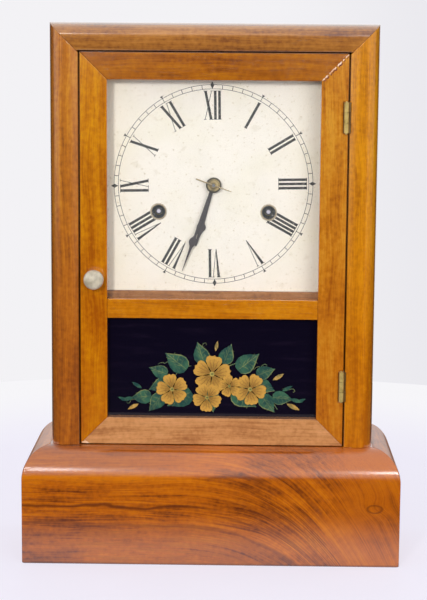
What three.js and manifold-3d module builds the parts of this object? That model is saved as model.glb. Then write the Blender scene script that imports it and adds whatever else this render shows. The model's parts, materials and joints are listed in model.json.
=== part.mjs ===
// A cottage clock: a mitred wooden case on a rounded base, a door with two panes, and an
// eight-day striking movement with a pendulum and a coil gong behind it.
// Sizes are in millimetres. X runs to the right as the clock is looked at, Y runs into the
// clock and Z runs up. The origin is at the middle of the base's underside.

import * as THREE from 'three';
import { mergeVertices } from 'three/addons/utils/BufferGeometryUtils.js';
import Module from 'manifold-3d';

const wasm = await Module();
wasm.setup();

const FULL_TURN = 2 * Math.PI;
const DEGREE = Math.PI / 180;

// Case and base

const base = { overhang: 18.3, height: 80.3, setback: 17.4, curveHeight: 22.1, floor: 8 };
const body = { width: 222.2, height: 368, side: 9, back: 7, top: 9 };
const moulding = { sideWidth: 20.3, topWidth: 18.8, depth: 14.2, crown: 2.6 };
const mouldingCrownShare = 0.42;
const mouldingInnerDropShare = 0.15;
const ledge = { height: 9.3, behindDoor: 0.6 };
const cleat = { lap: 4.2, thickness: 7, belowTopBoard: 14.9 };
const rail = { width: 11, overhang: 9 };

// Door

const door = {
  gap: 0.6, footGap: 0.6, depth: 14, member: 18.5, middle: 13.3, middleUnderLedge: 16.6, bevel: 0.8,
};
const pane = { thickness: 2, inset: 8, rebate: 4.5, fit: 0.4 };
const hinge = {
  length: 20.5, leaf: 0.9, reach: 11, knuckle: 1.95, pin: 0.7, pinFit: 0.3, proud: 1, inset: 1.6,
  fromTop: 42.6, fromBottom: 41.7, slack: 0.3, tip: 0.8,
};
const knob = {
  aboveLedge: 10.6, radius: 6.8, length: 11.4, neck: 3.4, ferrule: 4.4, ferruleDepth: 1.2, spindle: 1.6,
  fit: 0.35, swell: 4.6,
};
const knobAcrossShare = 0.7;
const hook = { reach: 13, width: 5.2, thickness: 1.4, clearance: 0.5, boss: 4 };

// Dial and hands

const dial = {
  behindDoor: 5, width: 152.4, height: 146.8, thickness: 0.8, belowTop: 109.3, arborHole: 4.5,
  windingHole: 4.8, rimRadius: 5.75, rimProud: 0.4,
};
const hourHand = { length: 44, blade: 5.6, bladeAt: 29.6, shaft: 2.4, thickness: 0.7, boss: 4.6 };
const minuteHand = { shortOfEdge: 10.2, blade: 5.7, bladeAt: 41.5, shaft: 2.4, thickness: 0.7, boss: 4 };
const handShape = { bladeHeadLength: 5.4, bladeTailLength: 11, needle: 0.9 };
const bossSteps = 10;
const handGaps = { dial: 0.9, pipeNose: 0.6, pastPin: 1.5 };
const hourTurn = 196 * DEGREE;
const minuteTurn = 199.7 * DEGREE;
const washer = { radius: 5.35, thickness: 0.8 };
const taperPin = { length: 26, thick: 0.5, thin: 0.3, turn: -19.6 * DEGREE, fit: 0.15 };

// Movement, whose own middle is the centre arbor, with Y counted from the front plate's face

const plates = {
  thickness: 1.5, apart: 28.5, halfWidth: 66, below: 52.7, above: 65.3, shoulder: 24, pillar: 2.5,
  pillarInset: 5.2, behindDial: 11.2,
};
const pivot = { radius: 0.8, fit: 0.3, showing: 0.4 };
const winding = {
  arbor: 2.6, fit: 0.3, square: 3.4, behindDial: 3.9, backPivot: 1.6, ratchetRadius: 7, ratchetThickness: 1.2,
  ratchetGap: 0.3, collar: 4.4, collarThickness: 1,
};
const windingReachShare = 0.890655;
const windingTurn = -26.4437 * DEGREE;
const ratchetTeeth = 16;
const ratchetDepthShare = 0.82;
const click = { width: 2.2, length: 8, stud: 1.2, clearance: 0.5, lift: 0.2 };
const mainspring = { thickness: 0.45, width: 12.5, inner: 3.3, outer: 21.4, front: 3.2 };
const mainspringTurns = 6;
const stepsPerTurn = 16;

const wheelThickness = 1.2;
const greatThickness = 1.6;
const leafLength = 2.4;
const wheelHub = 3;
const arborRadius = 0.9;
const secondArborRadius = 1.2;
const rimShare = 1.4;
const hubShare = 1.3;
const blowsPerStep = 4;
const countHours = 24;
const strikeHours = 12;
const modules = {
  timeGreat: 1.05, second: 0.9, centre: 0.4, third: 0.38, cannon: 0.75, hour: 0.72, strikeGreat: 0.65,
  strike: 0.45,
};
const counts = {
  timeGreatTeeth: 48, secondPinionTeeth: 8, secondTeeth: 32, centrePinionTeeth: 8, centreTeeth: 77,
  thirdPinionTeeth: 7, thirdTeeth: 70, escapePinionTeeth: 7, escapeTeeth: 42, cannonTeeth: 12,
  minuteTeeth: 36, minutePinionTeeth: 10, hourTeeth: 40, strikeGreatTeeth: 78, pinPinionTeeth: 6,
  pinTeeth: 78, lockPinionTeeth: 6, lockTeeth: 48, flyPinionTeeth: 6,
};
const planes = {
  great: 18, secondPinion: 17.6, second: 23, centrePinion: 22.4, centre: 26.3, thirdPinion: 25.7, third: 8,
  escapePinion: 7.4, escape: 12, lock: 10, flyPinion: 9.4, flyBlade: 13, count: 24.6,
  minuteWheel: -3.2, cannon: -3.8, minutePinion: -7.6, hourWheel: -7,
};
const centreArbor = {
  radius: 1.6, bore: 1.95, hub: 3.4, collar: 2.6, pipeInside: 1.4, tip: 1.1, slipWasher: 3.6, slipDepth: 1.2,
};
const hourPipe = { inner: 1.9, outer: 2.9 };
const minuteStud = { radius: 1.3, fit: 0.3, nose: 0.5 };
const minuteWheelTurn = -90 * DEGREE;
const escapeUpShare = 0.9545;
const escape = { radius: 13, thickness: 1 };
const verge = { aboveArch: 0.1, archGap: 0.9, archThickness: 1, hub: 1.35 };
const vergeTurn = 32 * DEGREE;
const crutch = { drop: 36, wire: 0.75, behind: 2, prongGap: 0.5, prongPast: 0.6 };
const pendulum = {
  behind: 5, rod: 0.8, bobAboveBase: 75.4, bob: 16, bobThickness: 6.8, backRoom: 0.7, springTop: 2,
  springLength: 10, spring: 0.3, springWidth: 3, block: 2.4, nut: 2.2, nutLength: 4, screwEnd: 28,
  bobRim: 1.6,
};
const cock = { width: 9, height: 5, pastSpring: 1.9, clearance: 0.4 };
const pinCircle = 14;
const liftingPin = { radius: 0.6, length: 2.4, land: 1.2 };
const liftingPins = 12;
const pinWheelTurn = 75 * DEGREE;
const lockWheelTurn = 95 * DEGREE;
const flyTurn = 60 * DEGREE;
const fly = { reach: 8.8, blade: 0.6, length: 12 };
const countWheel = { radius: 19, slotDepth: 2.2, thickness: 0.9 };
const countSlotShare = 0.5;
const hammer = {
  abovePins: 1.93, arbor: 1, rodPlane: 27, rod: 0.9, head: 3.4, headLength: 8, tailReach: 6, tailGap: 0.666,
  tailWidth: 2.4, gongGap: 1.5, hub: 2.2,
};

// Gong

const gong = { aboveFloor: 5.8, wire: 1.2, inner: 13, outer: 45, foot: 19, footThickness: 4 };
const gongTurns = 5;
const gongSteps = 22;
const gongBendShare = 2.5;

// Places worked out from the sizes above

const cutPast = 1;
const touchGap = 0.3;
const gripFit = 0.05;
const wireSides = 6;
const thinSides = 8;
const arborSides = 10;
const roundSides = 12;
const holeSides = 16;
const footSides = 20;
const bobSides = 24;
const baseSteps = 8;
const mouldingOuterSteps = 7;
const mouldingInnerSteps = 4;
const knobDomeSteps = 5;
const knobNeckSteps = 4;
const archSteps = 8;
const bobSteps = 4;
const bendSteps = 4;
const platesBack = 2 * plates.thickness + plates.apart;
const roomBehindPlates = pendulum.behind + pendulum.bobThickness / 2 + pendulum.backRoom;
const faceToPlates = door.depth + dial.behindDoor + plates.behindDial;
const baseWidth = body.width + 2 * base.overhang;
const baseDepth = base.setback + faceToPlates + platesBack + roomBehindPlates + body.back;
const faceY = -baseDepth / 2 + base.setback;
const backY = baseDepth / 2;
const innerBackY = backY - body.back;
const innerX = body.width / 2 - body.side;
const openingX = body.width / 2 - moulding.sideWidth;
const openingTop = body.height - moulding.topWidth;
const doorX = openingX - door.gap;
const doorBottom = base.height + door.footGap;
const doorTop = openingTop - door.gap;
const doorBack = faceY + door.depth;
const dialY = doorBack + dial.behindDoor;
const dialCentre = body.height - dial.belowTop;
const ledgeTop = dialCentre - dial.height / 2;
const platesY = dialY + plates.behindDial;
const pendulumY = platesBack + pendulum.behind;
const gongY = platesY + hammer.rodPlane;
const gongCentre = base.floor + gong.aboveFloor + gong.wire + gong.outer;

// Solids

function solid(geometry) {
  geometry.deleteAttribute('normal');
  geometry.deleteAttribute('uv');
  const welded = mergeVertices(geometry);
  const at = welded.attributes.position;
  const corners = Uint32Array.from(welded.index.array);
  const [a, b, c] = [new THREE.Vector3(), new THREE.Vector3(), new THREE.Vector3()];
  let volume = 0;
  for (let i = 0; i < corners.length; i += 3) {
    a.fromBufferAttribute(at, corners[i]);
    b.fromBufferAttribute(at, corners[i + 1]);
    c.fromBufferAttribute(at, corners[i + 2]);
    volume += a.dot(b.cross(c));
  }
  if (volume < 0) corners.reverse();
  return new wasm.Manifold(new wasm.Mesh({
    numProp: 3, vertProperties: Float32Array.from(at.array), triVerts: corners,
  }));
}

function join(...solids) {
  return solids.reduce((whole, next) => whole.add(next));
}

function cut(whole, ...tools) {
  return tools.reduce((rest, tool) => rest.subtract(tool), whole);
}

function block([x0, x1], [y0, y1], [z0, z1]) {
  const geometry = new THREE.BoxGeometry(x1 - x0, y1 - y0, z1 - z0);
  geometry.translate((x0 + x1) / 2, (y0 + y1) / 2, (z0 + z1) / 2);
  return solid(geometry);
}

// A profile of radius and depth pairs, turned about a line along Y

function turned(profile, x, z, around = roundSides) {
  const geometry = new THREE.LatheGeometry(profile.map(([r, y]) => new THREE.Vector2(r, y)), around);
  geometry.translate(x, 0, z);
  return solid(geometry);
}

function rod(radius, y0, y1, x, z, around = roundSides) {
  return turned([[0, y0], [radius, y0], [radius, y1], [0, y1]], x, z, around);
}

function ring(inner, outer, y0, y1, x, z, around = roundSides) {
  return turned([[inner, y0], [outer, y0], [outer, y1], [inner, y1], [inner, y0]], x, z, around);
}

function upright(radius, z0, z1, x, y, around = roundSides) {
  const geometry = new THREE.CylinderGeometry(radius, radius, z1 - z0, around);
  geometry.rotateX(Math.PI / 2);
  geometry.translate(x, y, (z0 + z1) / 2);
  return solid(geometry);
}

function outlined(points) {
  return new THREE.Shape(points.map(([x, y]) => new THREE.Vector2(x, y)));
}

// A flat shape drawn as the clock is looked at, its front at y and its middle at (x, z)

function plate(shape, y, thickness, x = 0, z = 0, turn = 0) {
  const geometry = new THREE.ExtrudeGeometry(shape, { depth: thickness, bevelEnabled: false });
  geometry.rotateZ(turn);
  geometry.rotateX(Math.PI / 2);
  geometry.translate(x, y + thickness, z);
  return solid(geometry);
}

function ringArea(points) {
  return points.reduce((sum, [x, y], i) => {
    const [nextX, nextY] = points[(i + 1) % points.length];
    return sum + (x * nextY - nextX * y) / 2;
  }, 0);
}

// The triangles that close a ring of points, wound the same way round as the ring

function capFaces(points) {
  const areas = [[1, 2], [0, 2], [0, 1]].map((axes) => {
    const flat = points.map((point) => axes.map((axis) => point[axis]));
    return { flat, area: ringArea(flat) };
  });
  const larger = (best, next) => (Math.abs(next.area) > Math.abs(best.area) ? next : best);
  const { flat, area } = areas.reduce(larger);
  const faces = THREE.ShapeUtils.triangulateShape(flat.map(([x, y]) => new THREE.Vector2(x, y)), []);
  return faces.map((face) => (ringArea(face.map((i) => flat[i])) * area > 0 ? face : [...face].reverse()));
}

function loft(rings) {
  const count = rings[0].length;
  const faces = [];
  for (let row = 0; row + 1 < rings.length; row += 1) {
    for (let i = 0; i < count; i += 1) {
      const here = row * count + i;
      const next = row * count + ((i + 1) % count);
      faces.push(here, next, next + count, here, next + count, here + count);
    }
  }
  const last = (rings.length - 1) * count;
  capFaces(rings[0]).forEach(([a, b, c]) => faces.push(c, b, a));
  capFaces(rings[rings.length - 1]).forEach(([a, b, c]) => faces.push(a + last, b + last, c + last));
  const geometry = new THREE.BufferGeometry();
  geometry.setAttribute('position', new THREE.Float32BufferAttribute(rings.flat(2), 3));
  geometry.setIndex(faces);
  return solid(geometry);
}

function tube(curve, radius, along, around) {
  const section = Array.from({ length: around }, (_, i) => {
    const turn = (i / around) * FULL_TURN;
    return [radius * Math.cos(turn), radius * Math.sin(turn)];
  });
  const settings = { steps: along, extrudePath: curve, bevelEnabled: false };
  return solid(new THREE.ExtrudeGeometry(outlined(section), settings));
}

// Points on a quarter of an ellipse, given as shares of its two half-widths

function quarterShares(parts) {
  return Array.from({ length: parts + 1 }, (_, i) => {
    const turn = (i / parts) * (Math.PI / 2);
    return [Math.cos(turn), Math.sin(turn)];
  });
}

// Meshes

const colours = {
  wood: '#a8640f', paleWood: '#b98a5c', glass: '#c9d4d4', blackGlass: '#0a0714', brass: '#b08a3c',
  steel: '#5b5f66', dark: '#26272b', iron: '#2b2a29', paper: '#faf2e6', porcelain: '#d9d5cc',
};
const metals = new Set(['brass', 'steel', 'dark', 'iron']);

function materialFor(kind) {
  const metal = metals.has(kind);
  const clear = kind === 'glass';
  return new THREE.MeshStandardMaterial({
    color: colours[kind], metalness: metal ? 1 : 0, roughness: metal ? 0.4 : 0.5, transparent: clear,
    opacity: clear ? 0.3 : 1,
  });
}

const clock = new THREE.Group();

function subGroup(x, y, z) {
  const group = new THREE.Group();
  group.position.set(x, y, z);
  clock.add(group);
  return group;
}

const cabinet = subGroup(0, 0, 0);
const doorGroup = subGroup(0, faceY, doorBottom);
const movement = subGroup(0, platesY, dialCentre);
const strikingGong = subGroup(0, 0, gongCentre);

function piece(name, shape, kind, group) {
  const { vertProperties, triVerts } = shape.getMesh();
  const geometry = new THREE.BufferGeometry();
  geometry.setAttribute('position', new THREE.BufferAttribute(vertProperties, 3));
  geometry.setIndex(new THREE.BufferAttribute(triVerts, 1));
  geometry.computeVertexNormals();
  const mesh = new THREE.Mesh(geometry, materialFor(kind));
  mesh.name = name;
  group.add(mesh);
}

// Base: three rounded boards mitred at the front corners, round a floor

const curveStart = base.height - base.curveHeight;

function baseSection() {
  const curve = quarterShares(baseSteps).map(([c, s]) => [1 - c, curveStart + s * base.curveHeight]);
  return [[0, 0], ...curve, [1, 0]];
}

function baseEnd(side, place) {
  return baseSection().map(([inset, z]) => place(side * (baseWidth / 2 - inset * base.overhang), inset, z));
}

const frontMitre = (x, inset, z) => [x, -baseDepth / 2 + inset * base.setback, z];
const squareBack = (x, inset, z) => [x, backY, z];
const baseFacing = loft([baseEnd(-1, frontMitre), baseEnd(1, frontMitre)]);
const frontEnd = faceY + moulding.depth;
const baseBacking = block([-body.width / 2, body.width / 2], [faceY, frontEnd], [0, base.height]);
piece('base_front_board', join(baseFacing, baseBacking), 'wood', cabinet);
piece('base_left_board', loft([baseEnd(-1, frontMitre), baseEnd(-1, squareBack)]), 'wood', cabinet);
piece('base_right_board', loft([baseEnd(1, frontMitre), baseEnd(1, squareBack)]), 'wood', cabinet);
piece('base_floor', block([-innerX, innerX], [frontEnd, innerBackY], [0, base.floor]), 'paleWood', cabinet);

// Case: sides, top and back board

const sidesTop = body.height - body.top;
piece('left_case_side', block([-body.width / 2, -innerX], [frontEnd, backY], [0, sidesTop]), 'wood', cabinet);
piece('right_case_side', block([innerX, body.width / 2], [frontEnd, backY], [0, sidesTop]), 'wood', cabinet);
const topSpan = [-body.width / 2, body.width / 2];
piece('top_board', block(topSpan, [frontEnd, backY], [sidesTop, body.height]), 'wood', cabinet);
piece('back_board', block([-innerX, innerX], [innerBackY, backY], [0, sidesTop]), 'paleWood', cabinet);

// Mouldings round the door: a convex section, mitred at the two top corners

function mouldingSection() {
  const outer = quarterShares(mouldingOuterSteps).map(([c, s]) => {
    const depth = moulding.depth - s * (moulding.depth + moulding.crown);
    return [mouldingCrownShare * (1 - c), depth];
  });
  const fall = moulding.crown * (1 + mouldingInnerDropShare);
  const inner = quarterShares(mouldingInnerSteps).slice(0, mouldingInnerSteps).reverse().map(([c, s]) => {
    const across = mouldingCrownShare + (1 - mouldingCrownShare) * c;
    return [across, -moulding.crown + fall * (1 - s)];
  });
  return [...outer, ...inner, [1, moulding.depth]];
}

function mouldingRing(place) {
  return mouldingSection().map(([across, depth]) => place(across, faceY + depth));
}

function upperMitre(side) {
  return mouldingRing((across, y) => [
    side * (body.width / 2 - across * moulding.sideWidth), y, body.height - across * moulding.topWidth,
  ]);
}

function mouldingFoot(side) {
  return mouldingRing((across, y) => [side * (body.width / 2 - across * moulding.sideWidth), y, base.height]);
}

// Hinges: each leaf is let into the wood, with its knuckles round the pin

const hingeY = faceY - hinge.proud;
const hingeX = doorX - hinge.inset;
const hinges = { upper: doorTop - hinge.fromTop, lower: doorBottom + hinge.fromBottom };
const knuckleShare = 1 / 3;
const third = hinge.length * knuckleShare;

function caseLeaf(middle) {
  const span = [middle - hinge.length / 2, middle + hinge.length / 2];
  const half = third / 2;
  const leaf = block([openingX, openingX + hinge.leaf], [faceY, faceY + hinge.reach], span);
  const knuckle = (from, to) => upright(
    hinge.knuckle, middle + from, middle + to, hingeX, hingeY, arborSides,
  );
  const web = (from, to) => block(
    [hingeX, openingX + hinge.leaf], [hingeY - hinge.leaf / 2, hingeY + hinge.leaf / 2],
    [middle + from, middle + to],
  );
  const turnIn = (from, to) => block(
    [openingX, openingX + hinge.leaf], [hingeY - hinge.leaf / 2, faceY + hinge.leaf],
    [middle + from, middle + to],
  );
  const ends = [[-hinge.length / 2, -half - hinge.slack], [half + hinge.slack, hinge.length / 2]];
  const knuckles = ends.flatMap(([from, to]) => [knuckle(from, to), web(from, to), turnIn(from, to)]);
  const pin = upright(hinge.pin, span[0] - hinge.tip, span[1] + hinge.tip, hingeX, hingeY, arborSides);
  return join(leaf, ...knuckles, pin);
}

// The room that the leaf and its turned-in edge need in the moulding

function caseLeafRoom(middle) {
  const half = hinge.length / 2;
  return block(
    [openingX - cutPast, openingX + hinge.leaf], [faceY - moulding.crown - cutPast, faceY + hinge.reach],
    [middle - half, middle + half],
  );
}

const rightMoulding = cut(
  loft([mouldingFoot(1), upperMitre(1)]), ...Object.values(hinges).map((middle) => caseLeafRoom(middle)),
);
piece('left_front_moulding', loft([mouldingFoot(-1), upperMitre(-1)]), 'wood', cabinet);
piece('right_front_moulding', rightMoulding, 'wood', cabinet);
piece('top_front_moulding', loft([upperMitre(-1), upperMitre(1)]), 'wood', cabinet);
Object.entries(hinges).forEach(([place, middle]) => {
  piece(`${place}_hinge_case_leaf`, caseLeaf(middle), 'brass', cabinet);
});

// Inside: the ledge under the dial, the dial's cleats and the movement's rails

const dialBack = dialY + dial.thickness;
const cleatY = [dialBack, dialBack + cleat.thickness];
const ledgeY = [doorBack + ledge.behindDoor, cleatY[1]];
const ledgeZ = [ledgeTop - ledge.height, ledgeTop];
piece('dial_ledge', block([-innerX, innerX], ledgeY, ledgeZ), 'paleWood', cabinet);
const cleatInner = dial.width / 2 - cleat.lap;
const cleatZ = [ledgeTop, sidesTop - cleat.belowTopBoard];
piece('left_dial_cleat', block([-innerX, -cleatInner], cleatY, cleatZ), 'paleWood', cabinet);
piece('right_dial_cleat', block([cleatInner, innerX], cleatY, cleatZ), 'paleWood', cabinet);
const railZ = [dialCentre - plates.below - rail.overhang, dialCentre + plates.above + rail.overhang];
const railX = [plates.halfWidth - rail.width, plates.halfWidth];
const railY = [platesY + platesBack, innerBackY];
piece('left_movement_rail', block([-railX[1], -railX[0]], railY, railZ), 'paleWood', cabinet);
piece('right_movement_rail', block(railX, railY, railZ), 'paleWood', cabinet);

// Door, drawn from its own face and foot: a frame of five members with rebates for two panes

const doorHeight = doorTop - doorBottom;
const doorOpening = doorX - door.member;
const middleBottom = ledgeTop - door.middleUnderLedge - doorBottom;
const middleRail = [middleBottom, middleBottom + door.middle];
const paneBack = pane.inset + pane.thickness;

function memberSection(bevel) {
  const narrow = door.member - pane.rebate;
  return [
    [0, 0], [door.member, 0], [door.member, pane.inset], [narrow, pane.inset], [narrow, door.depth],
    [bevel, door.depth],
  ];
}

function stile(side, bevel) {
  const section = memberSection(bevel);
  return loft([
    section.map(([across, y]) => [side * (doorX - across), y, across]),
    section.map(([across, y]) => [side * (doorX - across), y, doorHeight - across]),
  ]);
}

function doorRail(edge, inward) {
  const section = memberSection(0);
  return loft([
    section.map(([across, y]) => [-doorX + across, y, edge + inward * across]),
    section.map(([across, y]) => [doorX - across, y, edge + inward * across]),
  ]);
}

const knobX = -doorX + (door.member - pane.rebate) * knobAcrossShare;
const knobZ = ledgeTop + knob.aboveLedge - doorBottom;
const spindleBore = rod(knob.spindle + knob.fit, -cutPast, door.depth + cutPast, knobX, knobZ);
piece('door_left_stile', cut(stile(-1, door.bevel), spindleBore), 'wood', doorGroup);

// The door's leaf and knuckle room, cut from the right stile

function doorLeaf(middle) {
  const z = middle - doorBottom;
  const span = [z - hinge.length / 2, z + hinge.length / 2];
  const leaf = block([doorX - hinge.leaf, doorX], [0, hinge.reach], span);
  const barrel = upright(hinge.knuckle, z - third / 2, z + third / 2, hingeX, -hinge.proud);
  const neck = block(
    [doorX - hinge.leaf, doorX], [-hinge.proud, hinge.leaf], [z - third / 2, z + third / 2],
  );
  const nearPin = hinge.knuckle + hinge.pinFit;
  const above = upright(nearPin, z + third / 2, span[1] + cutPast, hingeX, -hinge.proud);
  const below = upright(nearPin, span[0] - cutPast, z - third / 2, hingeX, -hinge.proud);
  const bore = upright(hinge.pin + hinge.pinFit, span[0] - cutPast, span[1] + cutPast, hingeX, -hinge.proud);
  return cut(join(leaf, barrel, neck), above, below, bore);
}

function doorLeafRoom(middle) {
  const z = middle - doorBottom;
  const half = hinge.length / 2;
  const slot = block([doorX - hinge.leaf, doorX + cutPast], [-cutPast, hinge.reach], [z - half, z + half]);
  const past = half + hinge.tip + hinge.slack;
  const round = upright(hinge.knuckle + hinge.slack, z - past, z + past, hingeX, -hinge.proud);
  return join(slot, round);
}

const rightStile = cut(stile(1, 0), ...Object.values(hinges).map((middle) => doorLeafRoom(middle)));
piece('door_right_stile', rightStile, 'wood', doorGroup);
piece('door_top_rail', doorRail(doorHeight, -1), 'wood', doorGroup);
piece('door_bottom_rail', doorRail(0, 1), 'wood', doorGroup);
const railFront = block([-doorOpening, doorOpening], [0, pane.inset], middleRail);
const railTongue = block(
  [-doorOpening - pane.rebate, doorOpening + pane.rebate], [pane.inset, door.depth],
  [middleRail[0] + pane.rebate, middleRail[1] - pane.rebate],
);
piece('door_middle_rail', join(railFront, railTongue), 'wood', doorGroup);
Object.entries(hinges).forEach(([place, middle]) => {
  piece(`${place}_hinge_door_leaf`, doorLeaf(middle), 'brass', doorGroup);
});

const paneX = doorOpening + pane.rebate - pane.fit;
const lap = pane.rebate - pane.fit;
const upperPaneZ = [middleRail[1] - lap, doorHeight - door.member + lap];
const lowerPaneZ = [door.member - lap, middleRail[0] + lap];
piece('dial_glass', block([-paneX, paneX], [pane.inset, paneBack], upperPaneZ), 'glass', doorGroup);
piece('tablet_glass', block([-paneX, paneX], [pane.inset, paneBack], lowerPaneZ), 'blackGlass', doorGroup);

// Knob in front of the stile, and the hook that its spindle turns behind it

const knobBack = -knob.ferruleDepth;
const knobFront = knobBack - knob.length;
const knobFall = knob.length - knob.swell;
const knobDome = quarterShares(knobDomeSteps).map(([c, s]) => [
  knob.radius * s, knobFront + knob.swell * (1 - c),
]);
const knobUnderside = quarterShares(knobNeckSteps).slice(1).map(([c, s]) => [
  knob.neck + (knob.radius - knob.neck) * c, knobFront + knob.swell + knobFall * s,
]);
const knobProfile = [
  ...knobDome, ...knobUnderside, [knob.ferrule, knobBack], [knob.ferrule, -touchGap], [0, -touchGap],
];
piece('door_knob', turned(knobProfile, knobX, knobZ), 'porcelain', doorGroup);
const hookY = door.depth + hook.clearance;
const hookArm = block([knobX - hook.width / 2, knobX + hook.width / 2], [hookY, hookY + hook.thickness], [
  knobZ, knobZ + hook.reach,
]);
const hookBoss = rod(hook.boss, hookY, hookY + hook.thickness, knobX, knobZ);
const spindle = rod(knob.spindle, -touchGap, hookY + hook.thickness, knobX, knobZ);
piece('latch_hook', join(spindle, hookBoss, hookArm), 'brass', doorGroup);

// Where the arbors stand, counted from the centre arbor

function polar(radius, turn) {
  return [radius * Math.cos(turn), radius * Math.sin(turn)];
}

function bearing([fromX, fromZ], [toX, toZ]) {
  return Math.atan2(toZ - fromZ, toX - fromX);
}

function centreDistance(module, a, b) {
  return (module * (a + b)) / 2;
}

// The point that lies at two given distances from two others, on the left of the line between them

function meetingPoint(a, fromA, b, fromB) {
  const apart = Math.hypot(b[0] - a[0], b[1] - a[1]);
  const along = (fromA ** 2 - fromB ** 2 + apart ** 2) / (2 * apart);
  const aside = Math.sqrt(fromA ** 2 - along ** 2);
  const turn = bearing(a, b);
  const [dx, dz] = [Math.cos(turn), Math.sin(turn)];
  return [a[0] + along * dx - aside * dz, a[1] + along * dz + aside * dx];
}

function outFrom([x, z], distance, turn) {
  const [dx, dz] = polar(distance, turn);
  return [x + dx, z + dz];
}

const centre = [0, 0];
const toSecond = centreDistance(modules.timeGreat, counts.timeGreatTeeth, counts.secondPinionTeeth);
const toCentre = centreDistance(modules.second, counts.secondTeeth, counts.centrePinionTeeth);
const toThird = centreDistance(modules.centre, counts.centreTeeth, counts.thirdPinionTeeth);
const toEscape = centreDistance(modules.third, counts.thirdTeeth, counts.escapePinionTeeth);
const timeWinding = polar((toSecond + toCentre) * windingReachShare, windingTurn);
const strikeWinding = [-timeWinding[0], timeWinding[1]];
const secondAt = meetingPoint(centre, toCentre, timeWinding, toSecond);
const escapeAt = [0, (toThird + toEscape) * escapeUpShare];
const thirdAt = meetingPoint(escapeAt, toEscape, centre, toThird);
const archRadius = escape.radius + verge.archGap;
const vergeAt = [0, escapeAt[1] + archRadius + verge.archThickness + verge.aboveArch];
const toMinute = centreDistance(modules.cannon, counts.cannonTeeth, counts.minuteTeeth);
const minuteAt = outFrom(centre, toMinute, minuteWheelTurn);
const toPin = centreDistance(modules.strikeGreat, counts.strikeGreatTeeth, counts.pinPinionTeeth);
const pinAt = outFrom(strikeWinding, toPin, pinWheelTurn);
const toLock = centreDistance(modules.strike, counts.pinTeeth, counts.lockPinionTeeth);
const lockAt = outFrom(pinAt, toLock, lockWheelTurn);
const toFly = centreDistance(modules.strike, counts.lockTeeth, counts.flyPinionTeeth);
const flyAt = outFrom(lockAt, toFly, flyTurn);
const hammerFromPins = pinCircle + liftingPin.radius + hammer.tailGap + hammer.tailReach;
const hammerAt = [pinAt[0] - hammerFromPins, pinAt[1] + hammer.abovePins];

// Dial: a plate on the ledge, with a hole for the arbor and two dished winding holes

function windingHoleCut([x, z]) {
  const [from, to] = [dialY - cutPast, dialBack + cutPast];
  return rod(dial.windingHole, from, to, x, dialCentre + z, holeSides);
}

function windingRim([x, z]) {
  const front = dialY - dial.rimProud;
  return ring(dial.windingHole, dial.rimRadius, front, dialBack, x, dialCentre + z, holeSides);
}

const dialSheet = block(
  [-dial.width / 2, dial.width / 2], [dialY, dialBack], [ledgeTop, ledgeTop + dial.height],
);
const arborHole = rod(dial.arborHole, dialY - cutPast, dialBack + cutPast, 0, dialCentre);
const windings = [strikeWinding, timeWinding];
const dialHoles = windings.map((place) => windingHoleCut(place));
const dialRims = windings.map((place) => windingRim(place));
const dialPlate = join(cut(dialSheet, arborHole, ...dialHoles), ...dialRims);
piece('dial_plate', dialPlate, 'paper', cabinet);

// Toothed wheels. A wheel's tooth is a point, with a sharp root too on the fine ones, and a
// pinion's leaf is blunt.

const toothShares = { root: 1.15, tip: 0.8, half: 0.36 };
const leafShares = { root: 1.25, tip: 0.7, rootHalf: 0.24, tipHalf: 0.06 };
const fineModule = 0.7;

function toothedOutline(teeth, module, phase) {
  const pitch = FULL_TURN / teeth;
  const root = module * (teeth / 2 - toothShares.root);
  const tip = module * (teeth / 2 + toothShares.tip);
  const turns = Array.from({ length: teeth }, (_, i) => phase + i * pitch);
  if (module < fineModule) return turns.flatMap((turn) => [polar(root, turn - pitch / 2), polar(tip, turn)]);
  return turns.flatMap((turn) => [
    polar(root, turn - toothShares.half * pitch), polar(tip, turn),
    polar(root, turn + toothShares.half * pitch),
  ]);
}

function leafOutline(leaves, module, phase) {
  const pitch = FULL_TURN / leaves;
  const root = module * (leaves / 2 - leafShares.root);
  const tip = module * (leaves / 2 + leafShares.tip);
  return Array.from({ length: leaves }, (_, i) => phase + i * pitch).flatMap((turn) => [
    polar(root, turn - leafShares.rootHalf * pitch), polar(tip, turn - leafShares.tipHalf * pitch),
    polar(tip, turn + leafShares.tipHalf * pitch), polar(root, turn + leafShares.rootHalf * pitch),
  ]);
}

// The turn that puts a follower's gap opposite its driver's tooth

function meshedPhase(driverPhase, driverTeeth, followerTeeth, bearing) {
  const along = (driverTeeth * (driverPhase - bearing)) / FULL_TURN;
  return bearing + Math.PI - (FULL_TURN / followerTeeth) * (along + 0.5);
}

const armHalfShare = 0.11;
const arms = 4;

function withArms(shape, hub, rim) {
  const pitch = FULL_TURN / arms;
  for (let i = 0; i < arms; i += 1) {
    const middle = (i + 0.5) * pitch;
    const half = pitch * (0.5 - armHalfShare);
    const outer = [-1, -1 / 3, 1 / 3, 1].map((share) => polar(rim, middle + share * half));
    const inner = [1, -1].map((share) => polar(hub, middle + (share * half) / 2));
    shape.holes.push(new THREE.Path([...outer, ...inner].map(([x, y]) => new THREE.Vector2(x, y))));
  }
  return shape;
}

function wheel(teeth, module, phase, y, thickness, [x, z], hub) {
  const shape = outlined(toothedOutline(teeth, module, phase));
  const rim = module * (teeth / 2 - toothShares.root) - thickness * rimShare;
  return plate(hub > 0 ? withArms(shape, hub * hubShare, rim) : shape, y, thickness, x, z);
}

function pinion(leaves, module, phase, y, [x, z], length = leafLength) {
  return plate(outlined(leafOutline(leaves, module, phase)), y, length, x, z);
}

// An arbor between the plates, with a thin pivot through each

const betweenPlates = [plates.thickness + touchGap, platesBack - plates.thickness - touchGap];

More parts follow.
